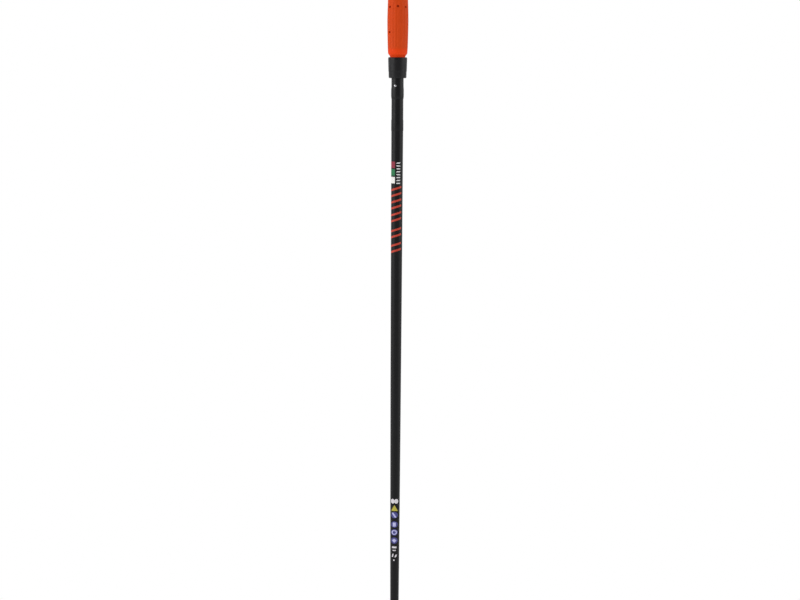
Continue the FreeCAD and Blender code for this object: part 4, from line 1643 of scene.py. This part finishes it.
@dataclass
class Foot:
    """Moulded ferrule, steel sleeve and hard spike. Sizes in mm."""

    tube_radius: float = 6.2
    nose_radius: float = 5.5
    groove_radius: float = 4.9
    neck_radius: float = 6.9
    flange_radius: float = 9.2
    spike_radius: float = 2.6
    sleeve_radius: float = 4.0
    sleeve_seat: float = 26.0
    groove: tuple[float, float] = (38.0, 40.0)
    neck_top: float = 55.0
    flange_top: float = 58.3
    socket_floor: float = 60.0
    ribs: int = 5
    rib_foot: float = 63.0
    rib_pitch: float = 3.4
    skirt_narrowing: float = 1.1
    crown_teeth: int = 4
    crown_depth: float = 0.9
    crown_rise: tuple[float, float] = (0.4, 2.2)
    crown_rim: tuple[float, float] = (1.0, 2.2)

    def ferrule(self) -> BMesh:
        """Ferrule: nose, clip groove, basket neck, flange and ribbed tube socket.

        Returns:
            A closed mesh in mm.
        """
        foot, top = levels("ferrule")
        groove_foot, groove_top = self.groove
        corners = [Corner(0, self.sleeve_seat), Corner(self.sleeve_radius, self.sleeve_seat),
                   Corner(self.sleeve_radius, foot), Corner(self.nose_radius - 0.9, foot, 0.3),
                   Corner(self.nose_radius, foot + 1.6, 0.6), Corner(self.nose_radius, groove_foot, 0.15),
                   Corner(self.groove_radius, groove_foot), Corner(self.groove_radius, groove_top),
                   Corner(self.neck_radius, groove_top, 0.15), Corner(self.neck_radius, self.neck_top),
                   Corner(self.flange_radius, self.neck_top, 0.3),
                   Corner(self.flange_radius, self.flange_top - 0.8, 0.4),
                   Corner(self.flange_radius - 0.7, self.flange_top, 0.3)]
        for number in range(self.ribs):
            at = self.rib_foot + self.rib_pitch * number
            share = (at - self.flange_top + 0.1) / (top - self.flange_top + 0.1)
            radius = self.flange_radius - 0.6 - self.skirt_narrowing * share
            corners += [Corner(radius, at), Corner(radius - 0.45, at + 0.5, 0.2),
                        Corner(radius - 0.5, at + 1.3, 0.2), Corner(radius - 0.06, at + 1.8)]
        corners += [Corner(self.tube_radius + 1.3, top - 1, 0.5),
                    Corner(self.tube_radius + 0.9, top, 0.3), Corner(self.tube_radius, top),
                    Corner(self.tube_radius, self.socket_floor), Corner(0, self.socket_floor)]
        return turned(corners, closed=False, steps=96)

    def sleeve(self) -> BMesh:
        """Short steel tube round the spike.

        Returns:
            A closed ring in mm.
        """
        foot, top = levels("spike_sleeve")
        return turned([Corner(self.spike_radius, foot), Corner(self.sleeve_radius - 0.6, foot, 0.15),
                       Corner(self.sleeve_radius, foot + 0.6, 0.2), Corner(self.sleeve_radius, top),
                       Corner(self.spike_radius, top)], steps=64)

    def spike(self) -> BMesh:
        """Spike whose hollow end is cut into a crown of points.

        Returns:
            A closed mesh in mm.
        """
        point, top = levels("spike")
        mesh = turned([Corner(0, point + 1.6), Corner(self.spike_radius - 0.5, point + 0.05, 0.2),
                       Corner(self.spike_radius - 0.2, point, 0.1),
                       Corner(self.spike_radius, point + 0.5, 0.2), Corner(self.spike_radius, top),
                       Corner(0, top)], closed=False, steps=96)
        for vert in mesh.verts:
            turn = math.atan2(vert.co.y, vert.co.x)
            near_end = 1 - eased_step(*self.crown_rise, vert.co.z - point)
            near_rim = eased_step(*self.crown_rim, math.hypot(vert.co.x, vert.co.y))
            notch = 0.5 - 0.5 * math.cos(self.crown_teeth * turn)
            vert.co.z += self.crown_depth * near_end * near_rim * notch
        return mesh

    def build(self) -> None:
        """Make the three pieces."""
        finish_piece("ribbed_ferrule", self.ferrule(), FERRULE_NYLON,
                     Seat("pole", "ferrule_nylon", ("ferrule",)))
        finish_piece("spike_tube", self.sleeve(), ZINC_PLATED_STEEL,
                     Seat("pole", "sleeve_steel", ("spike_sleeve",)))
        finish_piece("crown_spike", self.spike(), HARD_METAL, Seat("pole", "spike_steel", ("spike",)))


@dataclass
class Basket:
    """Snow basket on its rubber hub, held by an open clip. Sizes in mm."""

    windows: int = 6
    window_inner: float = 19.5
    window_outer: float = 34.5
    web_half_width: float = 3.6
    tool_levels: tuple[float, float] = (30.0, 70.0)
    thickness: float = 4.0
    rise: float = 5.0
    groove_radius: float = 12.5
    hub_radius: float = 15.0
    hub_seat: float = 3.5
    hub_notches: int = 12
    notch_depth: float = 0.5
    bore: float = 7.0
    clip_inner: float = 4.95
    clip_outer: float = 8.8
    clip_mouth: float = 7.0
    clip_clearance: float = 0.02

    def disc(self) -> BMesh:
        """Dished disc with a beaded rim, before its windows are cut.

        Returns:
            A closed ring in mm.
        """
        low, high = span("basket_disc")
        base, rim, inner = low.z, high.x, self.window_inner - 1.5
        bead = base + self.rise
        corners = [Corner(self.groove_radius, base), Corner(inner, base, 1.0),
                   Corner(rim - 4.5, bead, 0.6), Corner(rim - 3, bead - 0.8, 0.6),
                   Corner(rim - 0.8, bead - 0.6, 0.6), Corner(rim, bead + 0.6, 0.6),
                   Corner(rim, bead + 3.4, 0.6), Corner(rim - 0.8, bead + 4.4, 0.5),
                   Corner(rim - 3, bead + 4.6, 0.8), Corner(rim - 4.5, bead + 2.8, 0.8),
                   Corner(inner, base + self.thickness, 1.0),
                   Corner(self.groove_radius, base + self.thickness)]
        return turned(corners, steps=192)

    def window_tools(self) -> BMesh:
        """Six upright bars with rounded corners, one for each window.

        Returns:
            The tools as one mesh.
        """
        slope = math.tan(math.pi / self.windows)
        near = self.window_inner * slope - self.web_half_width
        far = self.window_outer * slope - self.web_half_width
        outline = [Corner(self.window_inner, -near, 2.2), Corner(self.window_outer, -far, 3.0),
                   Corner(self.window_outer, far, 3.0), Corner(self.window_inner, near, 2.2)]
        bottom, top = self.tool_levels
        tools = []
        for number in range(self.windows):
            points = [Vector((point.x, point.z, bottom)) for point in rounded(outline, steps=6)]
            tool = bar(points, Vector((0, 0, top - bottom)))
            turn = Matrix.Rotation(FULL_TURN * number / self.windows, 4, "Z")
            bmesh.ops.transform(tool, matrix=turn, verts=tool.verts)
            tools.append(tool)
        return joined(tools)

    def hub(self) -> BMesh:
        """Rubber hub with a groove for the disc and a notched lower flange.

        Returns:
            A closed ring in mm.
        """
        base, top = levels("basket_hub")
        seat = base + self.hub_seat
        seat_top = seat + self.thickness
        mesh = turned([Corner(self.bore, base), Corner(self.hub_radius - 0.6, base, 0.3),
                       Corner(self.hub_radius, base + 0.6, 0.4), Corner(self.hub_radius, seat, 0.3),
                       Corner(self.groove_radius, seat), Corner(self.groove_radius, seat_top),
                       Corner(self.hub_radius - 1, seat_top, 0.3),
                       Corner(self.hub_radius - 1, seat_top + 2, 0.8),
                       Corner(self.bore + 3.9, seat_top + 4.4, 1.0), Corner(self.bore + 2.9, top, 0.5),
                       Corner(self.bore, top)], steps=144)
        for vert in mesh.verts:
            radius = math.hypot(vert.co.x, vert.co.y)
            if radius > self.hub_radius - 0.7 and vert.co.z < seat + 0.1:
                turn = math.atan2(vert.co.y, vert.co.x)
                notch = max(0.0, math.cos(self.hub_notches * turn)) ** 3
                vert.co.xy *= 1 - self.notch_depth * notch / radius
        return mesh

    def clip(self) -> BMesh:
        """Flat clip, open at the back, with rounded ends.

        Returns:
            A closed mesh in mm.
        """
        foot, top = levels("basket_clip")
        middle, half = (foot + top) / 2, (top - foot) / 2 - self.clip_clearance
        ring = turned([Corner(self.clip_inner, middle - half, 0.2),
                       Corner(self.clip_outer, middle - half, 0.3),
                       Corner(self.clip_outer, middle + half, 0.3),
                       Corner(self.clip_inner, middle + half, 0.2)], steps=96)
        side = self.clip_mouth / 2
        return carved(ring, block((-side, 0, middle - 3), (side, 12, middle + 3)))

    def build(self) -> None:
        """Make the three pieces."""
        disc = softened(carved(self.disc(), self.window_tools()), 0.5, above=60.0, segments=2)
        finish_piece("snow_basket", disc, BASKET_POLYETHYLENE,
                     Seat("basket", "basket_polyethylene", ("basket_disc",)))
        finish_piece("rubber_hub", self.hub(), HUB_RUBBER,
                     Seat("basket", "hub_rubber", ("basket_hub",)))
        finish_piece("retaining_clip", self.clip(), BLACKENED_STEEL,
                     Seat("pole", "clip_steel", ("basket_clip",)))


# ------------------------------------------------------------------ studio


@dataclass(frozen=True)
class Lamp:
    """A soft square lamp, aimed at a point. Places and sizes in metres, power in watts."""

    name: str
    place: tuple[float, float, float]
    aim: tuple[float, float, float]
    width: float
    height: float
    power: float

    def build(self) -> None:
        """Add the lamp."""
        light = bpy.data.lights.new(self.name, "AREA")
        light.shape, light.energy = "RECTANGLE", self.power
        light.size, light.size_y = self.width, self.height
        lamp = linked(self.name, light)
        aim = Vector(self.aim) - Vector(self.place)
        lamp.matrix_world = (Matrix.Translation(self.place)
                             @ aim.to_track_quat("-Z", "Y").to_matrix().to_4x4())
        lamp.visible_camera = False


@dataclass
class Studio:
    """Plain pale floor, white surroundings, soft lamps and the camera. Sizes in metres."""

    floor_size: float = 30.0
    lamps: tuple[Lamp, ...] = (
        Lamp("key_lamp", (-2.9, -1.35, 1.7), (0, 0, 0.85), 2.4, 2.6, 54.0),
        Lamp("fill_lamp", (2.9, -0.9, 1.5), (0, 0, 0.85), 2.2, 2.4, 27.0))
    diffuse_light: float = 0.63
    front_reflection: float = 0.1
    dim_span: tuple[float, float] = (-0.75, 0.35)
    shadow_reach: tuple[float, float] = (0.3, 0.65)
    near_glow: float = 0.3
    camera_place: tuple[float, float, float] = (0.0058, -2.872, 1.084)
    camera_drop: float = 8.0
    camera_roll: float = 0.36
    lens_mm: float = 85.0
    sensor_mm: float = 36.0

    def floor(self) -> None:
        """Pale floor that shows white to the camera and keeps the pole's shadow."""
        mesh = bmesh.new()
        bmesh.ops.create_grid(mesh, x_segments=1, y_segments=1, size=self.floor_size / 2)
        floor = linked("studio_floor", to_data(mesh, "studio_floor"))
        paint = bpy.data.materials.new("matt_white_floor_paint")
        tree = empty_tree(paint)
        where = add_node(tree, "ShaderNodeTexCoord")
        roller = add_node(tree, "ShaderNodeTexNoise", {"Scale": per_metre(4.0), "Detail": 2.0},
                          {"Vector": (where, "Object")})
        bump = add_node(tree, "ShaderNodeBump", {"Distance": 0.05 * MM}, {"Height": (roller, "Fac")})
        matt = add_node(tree, "ShaderNodeBsdfPrincipled",
                        {"Base Color": linear("#fafafa"), "Roughness": 0.9, "Specular IOR Level": 0.1},
                        {"Normal": (bump, "Normal")})
        path = add_node(tree, "ShaderNodeLightPath")
        away = add_node(tree, "ShaderNodeVectorMath", {"operation": "LENGTH"}, {0: (where, "Object")})
        clear = add_node(tree, "ShaderNodeMapRange",
                         {"interpolation_type": "SMOOTHSTEP", "From Min": self.shadow_reach[0],
                          "From Max": self.shadow_reach[1]}, {"Value": (away, "Value")})
        share = add_node(tree, "ShaderNodeMath", {"operation": "MULTIPLY"},
                         {0: (path, "Is Camera Ray"), 1: (clear, 0)})
        near = add_node(tree, "ShaderNodeMath", {"operation": "MULTIPLY", 1: self.near_glow},
                        {0: (path, "Is Camera Ray")})
        glow = add_node(tree, "ShaderNodeEmission", links={"Strength": (near, 0)})
        lifted = add_node(tree, "ShaderNodeAddShader", links={0: (matt, 0), 1: (glow, 0)})
        white = add_node(tree, "ShaderNodeEmission")
        both = add_node(tree, "ShaderNodeMixShader",
                        links={0: (share, 0), 1: (lifted, 0), 2: (white, 0)})
        add_node(tree, "ShaderNodeOutputMaterial", links={"Surface": (both, 0)})
        floor.data.materials.append(paint)

    def surroundings(self) -> None:
        """White world for the camera and for reflections, dimmer where the front is reflected."""
        world = bpy.data.worlds.new("white_studio")
        bpy.context.scene.world = world
        tree = empty_tree(world)
        path = add_node(tree, "ShaderNodeLightPath")
        way = add_node(tree, "ShaderNodeSeparateXYZ",
                       links={0: (add_node(tree, "ShaderNodeTexCoord"), "Generated")})
        room = add_node(tree, "ShaderNodeMapRange",
                        {"interpolation_type": "SMOOTHSTEP", "From Min": self.dim_span[0],
                         "From Max": self.dim_span[1],
                         "To Min": self.front_reflection, "To Max": 1.0}, {"Value": (way, "Y")})
        clear = add_node(tree, "ShaderNodeMath", {"operation": "MAXIMUM"},
                         {0: (path, "Is Camera Ray"), 1: (path, "Is Transmission Ray")})
        mirrored = add_node(tree, "ShaderNodeBackground", links={"Strength": (room, 0)})
        white = add_node(tree, "ShaderNodeBackground", {"Strength": 1.0})
        soft = add_node(tree, "ShaderNodeBackground", {"Strength": self.diffuse_light})
        for shade in (mirrored, white, soft):
            shade.inputs["Color"].default_value = (1, 1, 1, 1)
        lit = add_node(tree, "ShaderNodeMixShader", links={
            0: (path, "Is Glossy Ray"), 1: (soft, 0), 2: (mirrored, 0)})
        seen = add_node(tree, "ShaderNodeMixShader", links={0: (clear, 0), 1: (lit, 0), 2: (white, 0)})
        add_node(tree, "ShaderNodeOutputWorld", links={"Surface": (seen, 0)})

    def camera(self) -> None:
        """Camera on its stand, tipped down a little and rolled a hair."""
        data = bpy.data.cameras.new("camera")
        data.lens, data.sensor_width, data.clip_end = self.lens_mm, self.sensor_mm, 100.0
        camera = linked("camera", data)
        tip = Matrix.Rotation(math.radians(90 - self.camera_drop), 4, "X")
        roll = Matrix.Rotation(math.radians(self.camera_roll), 4, "Z")
        camera.matrix_world = Matrix.Translation(self.camera_place) @ tip @ roll
        bpy.context.scene.camera = camera

    def build(self) -> None:
        """Set up the studio."""
        self.camera()
        self.floor()
        self.surroundings()
        for lamp in self.lamps:
            lamp.build()
        bpy.context.scene.view_settings.view_transform = "Standard"


def main() -> None:
    """Build the studio and the pole."""
    logging.basicConfig(level=logging.INFO, format="%(name)s: %(message)s")
    tube = Tube()
    for assembly in (Studio(), Grip(), HeadCap(), WedgeLock(), Neck(), tube, PrintedMarks(tube),
                     WristLoop(), Foot(), Basket()):
        assembly.build()


if __name__ == "__main__":
    main()
